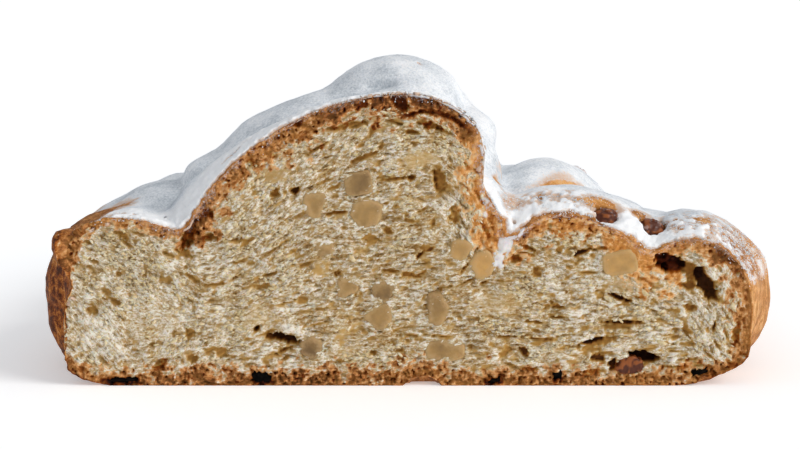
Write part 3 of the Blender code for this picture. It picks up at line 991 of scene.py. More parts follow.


# Rich yeast dough, baked: a close buttery crumb that lets light in, with a painted highlight where
# its torn relief stands out and painted shade where it dips and in its holes, and a crust that goes
# from gold to dark reddish brown.
def bakedDough():
    material, shader, add, coords, crust, bake, shadeAndTone, tone, dust, depth, runX, runZ = newMaterial(
        "baked_dough", "crust", "bake", "shadeAndTone", "tone", "dust", "depth", "runX", "runZ"
    )
    # the finest crumb, 0.4 to 0.6 mm across, and drifts of colour of about 11 mm
    speck = add("TexNoise", {"Vector": coords, "Scale": 1.7 / mm, "Detail": 4, "Roughness": 0.75})
    grit = add("TexNoise", {"Vector": coords, "Scale": 2.6 / mm, "Detail": 2, "Roughness": 0.6})
    drift = add("TexNoise", {"Vector": coords, "Scale": 0.09 / mm, "Detail": 3, "Roughness": 0.55})

    # the tone carries painted highlight and shade that follow the relief
    light = add("Math", [tone, 0.12, -0.11], operation="MULTIPLY_ADD")
    light = add("Math", [speck, 0.95, light], operation="MULTIPLY_ADD")
    # fibres about a millimetre long that run with the dough: noises drawn out in four directions
    for number, (run, way) in enumerate([(runX, 1), (runZ, 1), (runX, -1), (runZ, -1)]):
        turned = add(
            "Mapping",
            {"Vector": coords, "Rotation": (0, -math.pi * number / 4, 0), "Scale": (2.7, 1, 1)},
            vector_type="TEXTURE",
        )
        fibre = add("TexNoise", {"Vector": turned, "Scale": 2.3 / mm, "Detail": 2, "Roughness": 0.6})
        fibre = add("Math", [fibre, 1.75, -0.87], operation="MULTIPLY_ADD")
        share = add("Math", [run, way], operation="MULTIPLY", use_clamp=True)
        light = add("Math", [fibre, share, light], operation="MULTIPLY_ADD")
    light = add("Math", [drift, 0.4, light], operation="MULTIPLY_ADD")
    crumb = add(
        "ValToRGB", [light],
        [(0.1, "946A36"), (0.36, "B6945F"), (0.53, "C3AB84"), (0.7, "DACAAE"), (0.92, "F3EBDC")],
    )
    # colours of the shade painted in holes and pits, and of char by the burnt raisins, light to dark
    shadeAndToneColour = add(
        "ValToRGB", [shadeAndTone],
        [(0.2, "D0AE74"), (0.42, "BC904C"), (0.62, "98662A"), (0.82, "643A16"), (1.0, "34190A")],
    )
    shadeAndToneShare = add(
        "MapRange", {"Value": shadeAndTone, "From Min": 0.06, "From Max": 0.34}, interpolation_type="SMOOTHSTEP"
    )
    soft = add("Mix", [shadeAndToneShare, crumb, shadeAndToneColour], data_type="RGBA")

    # the crust is uneven in grit, in thin layers half a millimetre apart that follow the
    # loaf's outline, and in streaks that run down its side
    under = add("CombineXYZ", {"Y": depth})
    sheet = add("VectorMath", [coords, (0.28, 0.28, 0.28), under], operation="MULTIPLY_ADD")
    sheet = add("TexNoise", {"Vector": sheet, "Scale": 1.9 / mm, "Detail": 3})
    streak = add("VectorMath", [coords, (1, 1, 0.16)], operation="MULTIPLY")
    streak = add("TexNoise", {"Vector": streak, "Scale": 0.95 / mm, "Detail": 3})
    # where the tone is low the crust is painted darker, as shade in its dips
    uneven = add("Math", [tone, -0.13, -1.35], operation="MULTIPLY_ADD")
    for noise, amount in ((grit, 0.9), (sheet, 1.3), (streak, 0.5)):
        uneven = add("Math", [noise, amount, uneven], operation="MULTIPLY_ADD")
    inCrust = add("MapRange", {"Value": crust, "From Max": 0.3})
    edge = add("Math", [uneven, inCrust, crust], operation="MULTIPLY_ADD")
    # its colours where it is pale and where it is dark baked, from inside out
    pale = add(
        "ValToRGB", [edge],
        [(0.15, "F0DAB6"), (0.45, "EEC48E"), (0.75, "EBAE6C"), (1.0, "D28E46")],
    )
    deep = add(
        "ValToRGB", [edge],
        [(0.1, "EED2B0"), (0.36, "DDA264"), (0.58, "B9702C"), (0.82, "803F15"), (1.0, "4A2208")],
    )
    baked = add("Math", [drift, 0.5, bake], operation="MULTIPLY_ADD")
    baked = add("MapRange", {"Value": baked, "From Min": 0.45, "From Max": 1.15})
    crustColour = add("Mix", [baked, pale, deep], data_type="RGBA")
    crustColour = add(
        "Mix", [shadeAndToneShare, crustColour, shadeAndToneColour], data_type="RGBA", blend_type="MULTIPLY"
    )
    crustShare = add(
        "MapRange", {"Value": edge, "From Min": 0.08, "From Max": 0.45}, interpolation_type="SMOOTHSTEP"
    )
    dough = add("Mix", [crustShare, soft, crustColour], data_type="RGBA")
    # sugar dust that thins out over the crust in specks
    dusted = add("Math", [dust, grit], operation="ADD")
    dusted = add(
        "MapRange", {"Value": dusted, "From Min": 0.8, "From Max": 1.3, "To Max": 0.9},
        interpolation_type="SMOOTHSTEP",
    )
    height = add("Math", [speck, grit], operation="ADD")
    fill(shader, {
        "Base Color": add("Mix", [dusted, dough, linear("EFEDEE")], data_type="RGBA"),
        "Roughness": add("MapRange", {"Value": crust, "To Min": 0.78, "To Max": 0.6}),
        "Normal": add("Bump", {"Strength": 0.55, "Distance": 0.3 * mm, "Height": height}),
        "IOR": 1.45,
        "Specular IOR Level": 0.15,
        "Subsurface Weight": 0.2,
        "Subsurface Radius": (1.0, 0.5, 0.22),
        "Subsurface Scale": 1.2 * mm,
    })
    return material


# how far each vertex of the cut is inside its outline, and the place there that is nearest
def fromOutline(places, onCut, rim):
    tree = treeOf(places[rim] * (1, 0, 1))
    inside, along = np.zeros(len(places)), np.zeros((len(places), 2))
    for index in np.flatnonzero(onCut):
        edge, _, inside[index] = tree.find(places[index] * (1, 0, 1))
        along[index] = edge.x, edge.z
    return inside, along


# the cut at each vertex, crumb and the rougher crust round it: how far it lies behind the
# plane, how much of it is crust, how baked, the shade painted in its holes and pits with the
# char round burnt raisins, its tone with painted highlight and shade that follow its relief,
# and the sugar in its creases
def cutSurface(places, inside, along, wander, relief, holes, holeShadeAndTone, lightShadeAndTone):
    x, z = places[:, 0], places[:, 2]
    thick, rough, bake, flaky = (
        spread(x, z, crustPlaces, key) for key in ("thick", "rough", "bake", "flaky")
    )
    crust = 1 - smooth((inside + 0.3 * thick * wander) / thick, 0.15, 1.15)
    flakes = sample(0.75 * isotropic(503, 0.6) + 0.6 * isotropic(504, 1.3), x, z)
    # thin layers that follow the outline
    layered = np.column_stack([along[:, 0] / 4.5, (inside + 0.3 * wander) / 0.8, along[:, 1] / 4.5])
    sheets = 2.6 * cloud(layered, 1.0, 506, 2) * flaky
    crustInto = loaf["crustInto"] + (0.12 + rough * loaf["crustFlakes"]) * flakes
    crustInto = crustInto + loaf["crustSheets"] * sheets
    # pits in the crust, sunk and also painted darker as shade
    pits = smooth(sample(isotropic(505, 0.9), x, z), 1.0, 1.9) * np.clip(rough, 0, 1) * crust
    into = sample(relief, x, z) * (1 - crust) + crustInto * crust
    into = into + sample(holes, x, z) * (1 - 0.5 * crust) + loaf["crustPits"] * pits

    creased = np.zeros(gridX.shape)
    for spot in sugaredCreases:
        sinkSpot(creased, 0.3 * isotropic(507, 1.0), spot, 1, 0.5)
    sugared = sample(creased, x, z)
    into = into * (1 - sugared) + (0.4 + 0.2 * flakes) * sugared
    into = np.maximum(into, loaf["leastInto"]) * smooth(inside, -0.2, 0.7)
    # it lies deeper under the raisins, and is charred round the burnt ones
    fromBurnt = sample(gapTo(burntNodes) + 0.3 * isotropic(508, 1.0), x, z)
    fromFoot = sample(gapTo(footNodes), x, z)
    under = 1 - smooth(np.minimum(fromBurnt + 0.5, fromFoot), -0.4, 0.1)
    into = np.maximum(into, loaf["underRaisins"] * under)
    charred = (1 - smooth(fromBurnt, -0.6, 0.6)) * (1 - smooth(z, 0.8, 2.4))

    # the shade painted in holes and pits, and the char round burnt raisins
    dark = np.maximum(sample(holeShadeAndTone, x, z) * (1 - 0.45 * crust), 0.85 * pits)
    dark = np.maximum(dark, 1.1 * charred)
    # the crust's flakes and sheets are painted darker as shade where they lie deeper
    tone = sample(lightShadeAndTone, x, z) * (1 - crust) - ((0.4 + 0.7 * rough) * flakes + 1.3 * sheets) * crust
    return into, crust, bake, dark, tone, sugared


# sugar dust lies on the skin where the layer ends, and is smeared over the top edge of the cut
def dustOver(places, cover, isSkin, onCut, inside, along, wander, sugared):
    smeared = 0.42 * (1 - smooth(inside + 0.6 * wander, 0.0, 2.6)) * sugarAbove(along)
    ragged = 0.5 * isotropic(509, 1.2)
    for spot in smearedSugar:
        over = np.zeros(gridX.shape)
        sinkSpot(over, ragged, spot, 1, 1.0)
        smeared = np.maximum(smeared, spot["amount"] * sample(over, places[:, 0], places[:, 2]))
    onSkin = np.where(isSkin, smooth(cover, -0.7, 0.5) + skinDust(places), 0)
    return np.maximum(onSkin, np.where(onCut, np.maximum(smeared, 1.3 * sugared), 0))


# the loaf: its baked skin with lumps and cracks, its cut crumb in relief, and the values that
# the dough's material reads
def buildLoaf(evenMesh, relief, holes, holeShadeAndTone, lightShadeAndTone):
    bm = bmesh.new()
    bm.from_mesh(evenMesh)
    divideFront(bm, loaf["fineBand"], loaf["cutDivisions"])
    mesh = meshOf(bm, "stollen")

    places = vertexPlaces(mesh)
    x, z = places[:, 0], places[:, 2]
    onCut = np.abs(places[:, 1] - cutY) < 1e-3
    outward = skinNormals(mesh, places)
    rim = onCut & (np.linalg.norm(outward, axis=1) > 0.5)
    isSkin, isCrumb = ~onCut | rim, onCut & ~rim
    inside, along = fromOutline(places, onCut, rim)

    cover = sugarCover(places, outward)
    sunk = loaf["settle"] * np.clip(cover, 0, 1)
    lift = np.where(isSkin, skinForm(places) + skinLumps(places) - sunk, 0)
    lift[z < 0.2] = 0
    moved = places + outward * np.maximum(lift, -z)[:, None]
    wander = sample(0.5 * isotropic(501, 1.1) + 0.65 * isotropic(502, 3.4), x, z)
    into, crust, bake, dark, tone, sugared = cutSurface(
        places, inside, along, wander, relief, holes, holeShadeAndTone, lightShadeAndTone
    )
    moved[:, 1] += np.where(onCut, into, 0)
    moved[rim, 1] += 0.25 + 0.25 * cloud(places[rim], 1.2, 9)
    ragged = 0.22 * cloud(places[rim], 1.1, 8)[:, None]
    moved[rim] += outward[rim] * ragged * (places[rim, 2:3] > 0.2)
    moveVertices(mesh, moved)

    skinCrust = 0.82 + 0.18 * cloud(places, 2.2, 42, 3)
    dust = dustOver(places, cover, isSkin, onCut, inside, along, wander, sugared)
    paint(mesh, "crust", np.where(isCrumb, crust, skinCrust))
    paint(mesh, "bake", np.where(isCrumb, bake, skinBake(places, outward)))
    # shade painted in holes and pits, the tone of close spots, and char
    paint(mesh, "shadeAndTone", np.where(onCut, dark, 0))
    paint(mesh, "tone", np.where(onCut, tone, 0.8 * cloud(places, 1.2, 41, 2)))
    paint(mesh, "dust", dust)
    paint(mesh, "depth", inside * mm)
    paint(mesh, "runX", sample(np.cos(2 * flowAngle), x, z))
    paint(mesh, "runZ", sample(np.sin(2 * flowAngle), x, z))
    return finishPiece("stollen", mesh, bakedDough(), ["stollen_loaf"])


# where the sugar is painted grey as shade, in its dents and creases
sugarShadeSpots = table(
    "at half amount",
    ((-6, -46, 63.8), (5, 1.8, 2), 1.6),
    ((-15.5, -40, 61), (3, 3, 2), 1.0),
    ((-37.5, -66, 51.5), (3, 2, 2.5), 0.9),
    ((22, -60, 42), (4, 9, 5), 1.1),
    ((23, -28, 43), (4, 16, 5), 1.3),
    ((32, -65, 41), (8, 4, 3), 0.9),
    ((62, -50, 34), (5, 8, 4), 0.9),
)


# Icing sugar sifted on while the butter was warm: matt and faintly blue, painted grey as shade
# in its dents and creases and over the loaf's left side, with a painted highlight along the cut,
# and with the crust's warmth coming through where the layer is thin.
def icingSugar():
    material, shader, add, coords, thin, cutEdgeHighlight, sugarShade = newMaterial(
        "sifted_icing_sugar", "thin", "cutEdgeHighlight", "sugarShade"
    )
    # clumps of powder half a millimetre across, coarser than real ones so that they show
    fine = add("TexNoise", {"Vector": coords, "Scale": 1.9 / mm, "Detail": 3, "Roughness": 0.65})
    drift = add("TexNoise", {"Vector": coords, "Scale": 0.16 / mm, "Detail": 4, "Roughness": 0.6})
    lit = add("Math", [fine, drift], operation="ADD")
    lit = add("Math", [lit, 0.5], operation="SUBTRACT")
    # lighter where the highlight is painted along the cut, greyer where shade is painted
    for part, amount in ((cutEdgeHighlight, 0.4), (sugarShade, -0.22)):
        lit = add("Math", [part, amount, lit], operation="MULTIPLY_ADD")
    white = add("ValToRGB", [lit], [(0.1, "B9C0C6"), (0.5, "EDF0F3"), (0.7, "FFFFFF")])
    warm = add("Math", [thin, fine], operation="ADD")
    warm = add(
        "MapRange", {"Value": warm, "From Min": 0.95, "From Max": 1.6, "To Max": 0.8},
        interpolation_type="SMOOTHSTEP",
    )
    fill(shader, {
        "Base Color": add("Mix", [warm, white, linear("D9AE88")], data_type="RGBA"),
        "Normal": add("Bump", {"Strength": 0.8, "Distance": 0.3 * mm, "Height": fine}),
        "Roughness": 0.92,
        "IOR": 1.5,
        "Specular IOR Level": 0.2,
        "Subsurface Weight": 0.15,
        "Subsurface Radius": (1.0, 0.9, 0.8),
        "Subsurface Scale": 0.8 * mm,
    })
    return material


# writes a bmesh to a mesh, with its vertices' places, ways out of the loaf and cover of sugar
def coverOf(bm, mesh):
    bm.to_mesh(mesh)
    places = vertexPlaces(mesh)
    outward = skinNormals(mesh, places)
    return places, outward, sugarCover(places, outward)


# a closed crust of icing sugar that follows the skin and sinks below it where it ends
def buildSugar(evenMesh, material):
    plane = cutY * mm
    mesh = bpy.data.meshes.new("icing_sugar")
    bm = bmesh.new()
    bm.from_mesh(evenMesh)
    places, outward, cover = coverOf(bm, mesh)
    bare = [f for f in bm.faces if max(cover[v.index] for v in f.verts) < sugar["leave"]]
    front = [f for f in bm.faces if all(abs(v.co.y - plane) < 1e-6 for v in f.verts)]
    bmesh.ops.delete(bm, geom=list(set(bare + front)), context="FACES")
    for band in (sugar["mediumBand"], sugar["fineBand"]):
        divideFront(bm, band, 1)
    places, outward, cover = coverOf(bm, mesh)
    bm.free()

    behind = places[:, 1] - cutY
    atCut = 1 - smooth(behind, 0, 4)
    loose = 1 - smooth(behind + 3 * cloud(places, 7, 67, 2), *sugar["loose"])
    lumps = sugar["lumps"] * cloud(places, 1.3, 62) * (1 + 3 * loose)
    lumps = lumps + sugar["waves"] * cloud(places, 5, 61)
    lumps = lumps + sugar["clods"] * cloud(places, 2.6, 68, 2) * loose
    layer = np.clip(cover, -0.8, 1)
    thick = sugar["thick"] + sugar["thickerAtCut"] * atCut * (1 + 1.2 * cloud(places, 4, 66))
    lift = np.where(layer > 0, thick, 0.8) * layer + lumps * smooth(cover, 0, 0.6) + skinForm(places)
    lift = lift + skinLumps(places) * (1 - 0.6 * smooth(cover, 0.2, 1))
    moved = places + outward * lift[:, None]
    inset = sugar["inset"] + sugar["insetThin"] * (1 - smooth(cover, -0.2, 0.3))
    moved[:, 1] = np.maximum(moved[:, 1], cutY + inset)
    moveVertices(mesh, moved)

    patchy = cover + 0.45 * cloud(places, 7, 64, 3) + 0.25 * cloud(places, 1.6, 65)
    paint(mesh, "thin", 1 - smooth(patchy, 0.0, 1.15))
    # a painted highlight on the loose sugar along the cut
    paint(mesh, "cutEdgeHighlight", loose * smooth(cover, 0.1, 0.7))
    # painted grey shade over the left side of the loaf, and in the spots above
    sugarShade = 0.5 * smooth(-places[:, 0], -4, 22) * smooth(cover, 0.4, 1) * (1 - 0.8 * loose)
    sugarShade = sugarShade + sumSpots(places, sugarShadeSpots, "amount")
    paint(mesh, "sugarShade", sugarShade * (0.8 + 0.6 * cloud(places, 9, 69, 2) + 0.5 * cloud(places, 1.6, 70)))
    piece = finishPiece("icing_sugar", mesh, material)
    shell = piece.modifiers.new("shell", "SOLIDIFY")
    shell.thickness = sugar["shell"] * mm
    shell.offset = -1
    return piece


peel = {
    "voxel": 0.42,
    "rounding": 4,  # rounds of smoothing
    "regrown": 0.45,  # what the smoothing took off
    "wobble": 0.35,
    "flush": 0.2,  # how far its faces lie behind the plane of the cut
}


# each cube's tone, from 0 for dark to 1 for pale, and the straight cuts that shape its
# face: their direction in degrees, anticlockwise from the right, and how far out they are
peelFaces = {
    "peel_cube_01": dict(tone=0.47, cuts=[(-21, 1.5), (203, 1.8), (90, 2.3)]),
    "peel_cube_02": dict(tone=0.26, cuts=[(-50, 2.9), (150, 2.5)]),
    "peel_cube_03": dict(tone=0.50, cuts=[(-16, 2.6), (159, 3.0), (235, 3.1), (60, 2.7)]),
    "peel_cube_04": dict(tone=0.41, cuts=[(180, 1.2), (90, 0.9), (270, 1.3)]),
    "peel_cube_05": dict(tone=0.44, cuts=[(180, 1.2), (90, 2.0), (-65, 1.4), (30, 2.5)]),
    "peel_cube_06": dict(tone=0.27, cuts=[(180, 1.5), (114, 1.5)]),
    "peel_cube_07": dict(tone=0.50, cuts=[(133, 2.2), (222, 2.0), (-41, 2.2), (0, 2.6)]),
    "peel_cube_08": dict(tone=0.42, cuts=[(180, 1.3), (25, 2.1), (90, 2.8), (-49, 3.2)]),
    "peel_cube_09": dict(tone=0.09, cuts=[(122, 1.9), (57, 2.2), (-9, 2.1), (241, 1.6), (180, 1.8)]),
    "peel_cube_10": dict(tone=0.42, cuts=[(76, 1.7), (259, 2.1)]),
    "peel_cube_11": dict(tone=0.70, cuts=[(163, 1.3), (90, 1.5), (-30, 2.3)]),
    "peel_cube_12": dict(tone=0.78, cuts=[(30, 2.7), (-24, 2.2), (203, 1.9), (144, 2.3)]),
    "peel_cube_13": dict(tone=0.78, cuts=[(40, 3.2)]),
}


# Citrus peel boiled in syrup: dull amber and see-through at its edges, waxy where cut.
def candiedPeel():
    material, shader, add, coords, tint, rim = newMaterial("candied_citrus_peel", "tint", "rim")
    cloudy = add("TexNoise", {"Vector": coords, "Scale": 0.32 / mm, "Detail": 3, "Roughness": 0.55})
    fine = add("TexNoise", {"Vector": coords, "Scale": 1.8 / mm, "Detail": 2})
    mixed = add("Math", [cloudy, 0.9, -0.45], operation="MULTIPLY_ADD")
    mixed = add("Math", [mixed, tint], operation="ADD")
    colour = add("ValToRGB", [mixed], [(0.0, "785C38"), (0.5, "A98651"), (1.0, "D6A662")])
    # crumb sticks to its syrupy edges
    stuck = add("Math", [cloudy, 1.2, rim], operation="MULTIPLY_ADD")
    stuck = add("Math", [fine, 1.4, stuck], operation="MULTIPLY_ADD")
    stuck = add("MapRange", {"Value": stuck, "From Min": 1.5, "From Max": 2.4, "To Max": 0.6})
    fill(shader, {
        "Base Color": add("Mix", [stuck, colour, linear("C2A273")], data_type="RGBA"),
        "Normal": add("Bump", {"Strength": 0.25, "Distance": 0.2 * mm, "Height": fine}),
        "Roughness": 0.5,
        "IOR": 1.46,
        "Specular IOR Level": 0.35,
        "Subsurface Weight": 0.45,
        "Subsurface Radius": (1.0, 0.6, 0.3),
        "Subsurface Scale": 1.8 * mm,
    })
    return material


# the peel cubes with softened, uneven sides, cut almost flush with the crumb
def buildPeel(peelGap):
    mesh = evenSkin(joinedNodes(peelNodes), peel["voxel"])
    bm = bmesh.new()
    bm.from_mesh(mesh)
    for _ in range(peel["rounding"]):
        bmesh.ops.smooth_vert(
            bm, verts=bm.verts, factor=0.5, use_axis_x=True, use_axis_y=True, use_axis_z=True
        )
    bm.to_mesh(mesh)
    bm.free()
    places, normals = vertexPlaces(mesh), vertexNormals(mesh)
    wobble = peel["regrown"] + peel["wobble"] * cloud(places, 3.0, 31) + 0.12 * cloud(places, 1.1, 32)
    moved = places + normals * wobble[:, None]
    fromEdge = sample(peelGap, moved[:, 0], moved[:, 2])
    flush = cutY + peel["flush"] + 0.08 * cloud(places, 2.3, 33) + 1.6 * smooth(fromEdge, 0.15, 1.2)
    moved[:, 1] = np.maximum(moved[:, 1], flush)
    moveVertices(mesh, moved)

    # each vertex takes the tone of the cube whose middle is nearest
    tone, nearest = np.zeros(len(places)), np.full(len(places), np.inf)
    for name, face in peelFaces.items():
        low, high = (np.array(corner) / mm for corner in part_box(name))
        away = np.abs(places - (low + high) / 2).max(axis=1)
        tone = np.where(away < nearest, face["tone"], tone)
        nearest = np.minimum(nearest, away)
    paint(mesh, "tint", tone + 0.12 * cloud(places, 4, 34))
    paint(mesh, "rim", smooth(fromEdge, -1.6, 0.3))
    return finishPiece("candied_peel", mesh, candiedPeel(), peelNodes)


raisins = {
    "voxel": 0.36,
    "grown": 0.12,  # how far they swell before their folds sink in
    "foldWidth": 1.4,
    "foldDepth": 0.42,
    "proud": 0.15,  # how far the knife left them standing out of the cut
}


# Raisin skin: wrinkled, waxy, reddish brown and dusted with sugar, painted darker in its folds
# than on its swellings, as shade.
def raisinSkin(name, foldShadeColour, swellColour, roughness, shine):
    material, shader, add, coords, fold, dust = newMaterial(name, "fold", "dust")
    mottle = add("TexNoise", {"Vector": coords, "Scale": 0.9 / mm, "Detail": 3, "Roughness": 0.6})
    share = add("Math", [mottle, 0.5, fold], operation="MULTIPLY_ADD")
    colour = add("ValToRGB", [share], [(0.2, swellColour), (0.95, foldShadeColour)])
    dusted = add("Math", [dust, mottle], operation="ADD")
    dusted = add("MapRange", {"Value": dusted, "From Min": 0.75, "From Max": 1.3})
    fill(shader, {
        "Base Color": add("Mix", [dusted, colour, linear("E8E2E0")], data_type="RGBA"),
        "Normal": add("Bump", {"Strength": 0.4, "Distance": 0.3 * mm, "Height": mottle}),
        "Roughness": roughness,
        "IOR": 1.45,
        "Specular IOR Level": shine,
    })
    return material


# raisins with sharp folds between soft swellings, some dusted, some tucked under the crust
def buildRaisins(name, nodes, material, seed, sugared=0.0, tuck=0.0):
    mesh = evenSkin(joinedNodes(nodes, raisins["grown"]), raisins["voxel"])
    places, normals = vertexPlaces(mesh), vertexNormals(mesh)
    folds = 1 - np.abs(cloud(places, raisins["foldWidth"], seed, 2)) * 2.2
    depth = raisins["foldDepth"] * smooth(folds, 0.2, 1)
    moved = places - normals * depth[:, None]
    # the crust closes over the rims of burnt ones
    buried = tuck * smooth(sample(gapTo(nodes), moved[:, 0], moved[:, 2]), -1.0, -0.2)
    moved[:, 1] = np.maximum(moved[:, 1], cutY - raisins["proud"] + buried)
    moved[:, 2] = np.maximum(moved[:, 2], 0.02)
    moveVertices(mesh, moved)
    cover = smooth(normals[:, 2], -0.2, 0.6) * smooth(places[:, 1], cutY + 1.6, cutY + 3)
    dust = sugared + 1.1 * smooth(places[:, 1], -45, -36) * smooth(places[:, 0], 70, 50)
    paint(mesh, "dust", dust * cover * (0.6 + 0.5 * cloud(places, 1.5, seed + 3)))
    # painted shade in the raisins' folds
    paint(mesh, "fold", smooth(folds, 0.1, 0.9))
    return finishPiece(name, mesh, material, nodes)


lumpiness = 0.3  # how uneven the scattered crumbs and grains are


# many small rough lumps in one mesh: middles, half sizes and turns about the way they face
def scatter(name, middles, halves, turns, seed):
    rng = np.random.default_rng(seed)
    lump = bmesh.new()
    bmesh.ops.create_icosphere(lump, subdivisions=1, radius=1)
    shape = np.array([v.co for v in lump.verts])
    faces = np.array([[v.index for v in f.verts] for f in lump.faces])
    lump.free()
    count = len(middles)
    uneven = 1 + lumpiness * rng.standard_normal((count, len(shape), 1))
    points = shape[None] * uneven * halves[:, None]
    cos, sin = np.cos(turns)[:, None], np.sin(turns)[:, None]
    x, z = points[..., 0].copy(), points[..., 2].copy()
    points[..., 0] = x * cos - z * sin
    points[..., 2] = x * sin + z * cos
    points = points + middles[:, None]
    firsts = (np.arange(count) * len(shape))[:, None, None]
    mesh = bpy.data.meshes.new(name)
    mesh.from_pydata(points.reshape(-1, 3) * mm, [], (faces[None] + firsts).reshape(-1, 3))
    return mesh


crumbs = {
    "count": 2800,
    "length": 0.38,
    "cluster": 5.0,
    "margin": 3.6,  # none nearer to the outline
    "lowest": 5,
    "strewn": 0.8,
    "byPeel": 0.24,  # how far behind the plane of the cut the peel's faces are to them
    "seed": 83,
}


# Bits of crumb torn loose by the knife: dry, pale and nearly matt.
def paleCrumb():
    material, shader, add, coords = newMaterial("torn_crumb")
    speck = add("TexNoise", {"Vector": coords, "Scale": 0.7 / mm, "Detail": 3})
    fill(shader, {
        "Base Color": add("ValToRGB", [speck], [(0.3, "CFB583"), (0.5, "E0CAA0"), (0.7, "F0E2C7")]),
        "Roughness": 0.75,
        "IOR": 1.45,
        "Specular IOR Level": 0.3,
        "Subsurface Weight": 0.3,
        "Subsurface Radius": (1.0, 0.6, 0.3),
        "Subsurface Scale": 0.8 * mm,
    })
    return material


# torn bits of crumb that stand on the cut face, more of them in some places
def buildCrumbs(evenMesh, relief, holeShadeAndTone, peelGap):
    rng = np.random.default_rng(crumbs["seed"])
    outline = cadOutline()
    places = vertexPlaces(evenMesh)
    places = places[(np.abs(places[:, 1] - cutY) < 1e-3) & (places[:, 2] > crumbs["lowest"])]
    margin = crumbs["margin"] * mm
    places = places[[outline.find(Vector(place) * mm)[2] > margin for place in places]]
    middles = places[rng.integers(0, len(places), crumbs["count"] * 8)]
    strewn = crumbs["strewn"]
    middles = middles + rng.uniform(-strewn, strewn, middles.shape) * (1, 0, 1)
    x, z = middles[:, 0], middles[:, 2]
    clustered = cloud(middles, crumbs["cluster"], 84, 2)
    # some of them stick to the rims of the peel
    fromPeel = sample(peelGap, x, z)
    sticks = smooth(fromPeel, -1.2, -0.5) * (1 - smooth(fromPeel, 0.2, 0.7))
    wanted = rng.uniform(size=len(x)) < np.maximum(smooth(clustered, -0.5, 0.7), sticks)
    wanted &= (sample(holeShadeAndTone, x, z) < 0.2) & (fromPeel > -1.0)
    kept = np.flatnonzero(wanted)[: crumbs["count"]]
    middles, x, z = middles[kept], x[kept], z[kept]
    ground = np.where(fromPeel[kept] < 0.1, crumbs["byPeel"], sample(relief, x, z))
    middles[:, 1] = cutY + np.maximum(ground - 0.08, 0.06)
    length = crumbs["length"] * np.exp(rng.normal(0, 0.35, len(x)))
    turns = sample(flowAngle, x, z) + rng.normal(0, 0.5, len(x))
    mesh = scatter("loose_crumbs", middles, length[:, None] * (1, 0.3, 0.45), turns, 85)
    return finishPiece("loose_crumbs", mesh, paleCrumb())


grains = {
    "count": 4200,
    "size": 0.1,
    "behind": 40,  # none farther behind the cut
    "leftEnd": -66,  # none along the cut farther left
    "sparseFrom": 24,  # half as many along the cut from here to the right
    "strewn": 0.7,
    "seed": 91,
}


# grains of sugar that fell on the crust along the cut and lie on the thin places
def buildGrains(evenMesh, material):
    rng = np.random.default_rng(grains["seed"])
    places = vertexPlaces(evenMesh)
    outward = skinNormals(evenMesh, places)
    cover = sugarCover(places, outward)
    behind = places[:, 1] - cutY
    top = outward[:, 2] > 0.25
    bare = sum(nearSpot(places, spot) for spot in sugarSpeckled)
    clustered = smooth(cloud(places, 6, 93, 3), -0.3, 0.6)
    x = places[:, 0]
    edge = (behind < 1.0) * clustered * np.where(x > grains["sparseFrom"], 0.5, 1)
    edge = edge * (x > grains["leftEnd"])
    weight = top * (behind < grains["behind"]) * (edge + 0.8 * np.clip(bare, 0, 1) * (cover < 0.6))
    pick = rng.choice(len(places), grains["count"], p=weight / weight.sum())
    middles = places[pick] + rng.normal(0, grains["strewn"], (len(pick), 3)) * (1, 0, 1)
    middles = middles + outward[pick] * (skinForm(places[pick]) + 0.05)[:, None]
    atEdge = behind[pick] < 1
    middles[atEdge, 1] = cutY + rng.uniform(0.3, 1.6, atEdge.sum())
    # each is laid on the skin under it
    skinTree = treeOf(places)
    for number, middle in enumerate(middles):
        _, nearest, _ = skinTree.find(middle)
        off = (places[nearest] - middle) @ outward[nearest] + skinForm(places[nearest : nearest + 1])[0]
        middles[number] = middle + outward[nearest] * (off - 0.02)
    size = grains["size"] * np.exp(np.clip(rng.normal(0, 0.4, len(pick)), -0.7, 0.7))
    mesh = scatter("sugar_grains", middles, size[:, None] * np.ones(3), 0 * size, 92)
    return finishPiece("sugar_grains", mesh, material)


studio = {
    "lookAt": (-1.5, cutY, 36.0),
    "elevation": 10,
    "distance": 600,
    "sensor": 36,
    "lens": 124.2,
    "nearest": 0.01,  # metres
    "floorHalf": 6,  # metres
    "floorGlow": 0.32,
    "sky": 0.52,
    "sunFrom": (0.75, -0.35, 0.56),
    "sunStrength": 1.7,
    "sunSpread": 38,  # degrees, as soft as a large window
}


# adds a camera or a light that looks from one place to another
def addLooking(name, data, place, target):
    obj = newObject(name, data)
    obj.location = place
    obj.rotation_euler = (target - place).to_track_quat("-Z", "Y").to_euler()
    return obj


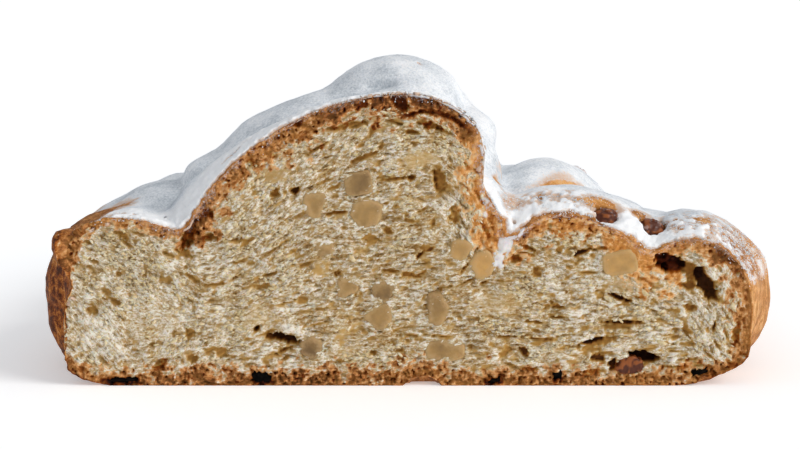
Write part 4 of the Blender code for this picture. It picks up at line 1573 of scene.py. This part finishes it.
def buildStudio():
    scene = bpy.context.scene
    scene.view_settings.view_transform = "Standard"
    target = Vector(studio["lookAt"]) * mm
    tilt = math.radians(studio["elevation"])
    away = studio["distance"] * mm
    lens = bpy.data.cameras.new("camera")
    lens.sensor_width = studio["sensor"]
    lens.lens = studio["lens"]
    lens.clip_start = studio["nearest"]
    behind = Vector((0, -away * math.cos(tilt), away * math.sin(tilt)))
    scene.camera = addLooking("camera", lens, target + behind, target)

    bm = bmesh.new()
    bmesh.ops.create_grid(bm, x_segments=1, y_segments=1, size=studio["floorHalf"])
    mesh = meshOf(bm, "floor")
    # white card, matt, and lit a little from below
    material, shader, *_ = newMaterial("white_card")
    fill(shader, {
        "Base Color": linear("F7F7F7"),
        "Roughness": 0.9,
        "Specular IOR Level": 0.1,
        "Emission Color": linear("FFFFFF"),
        "Emission Strength": studio["floorGlow"],
    })
    mesh.materials.append(material)
    newObject("floor", mesh)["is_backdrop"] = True

    world = bpy.data.worlds.new("studio")
    scene.world = world
    world.use_nodes = True
    fill(world.node_tree.nodes["Background"], {"Color": linear("F0F5FC"), "Strength": studio["sky"]})
    sun = bpy.data.lights.new("window", "SUN")
    sun.energy = studio["sunStrength"]
    sun.angle = math.radians(studio["sunSpread"])
    sun.color = linear("FFFCF8")[:3]
    addLooking("window", sun, Vector(studio["sunFrom"]), Vector())
    print("studio: floor, window light and camera")


evenMesh = evenLoaf()
peelGap = gapTo(peelNodes, peelFaces)
relief, holes, holeShadeAndTone, lightShadeAndTone = drawRelief(peelGap)
buildLoaf(evenMesh, relief, holes, holeShadeAndTone, lightShadeAndTone)
buildCrumbs(evenMesh, relief, holeShadeAndTone, peelGap)
icing = icingSugar()
buildSugar(evenMesh, icing)
buildGrains(evenMesh, icing)
buildPeel(peelGap)
# fold colours first, painted shade in the folds, then the swellings' own colour
plumpSkin = raisinSkin("raisin_skin", "56260F", "94501F", 0.42, 0.4)
burntSkin = raisinSkin("burnt_raisin_skin", "050403", "120C0A", 0.85, 0.08)
buildRaisins("plump_raisins", plumpNodes, plumpSkin, 51, sugared=0.34)
buildRaisins("burnt_raisins", burntNodes, burntSkin, 57, tuck=1.3)
buildStudio()

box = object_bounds()
past = [[round((b - a) / mm, 2) for a, b in zip(*corners)] for corners in zip(cadBox, box)]
print("size over the CAD box, mm", past)
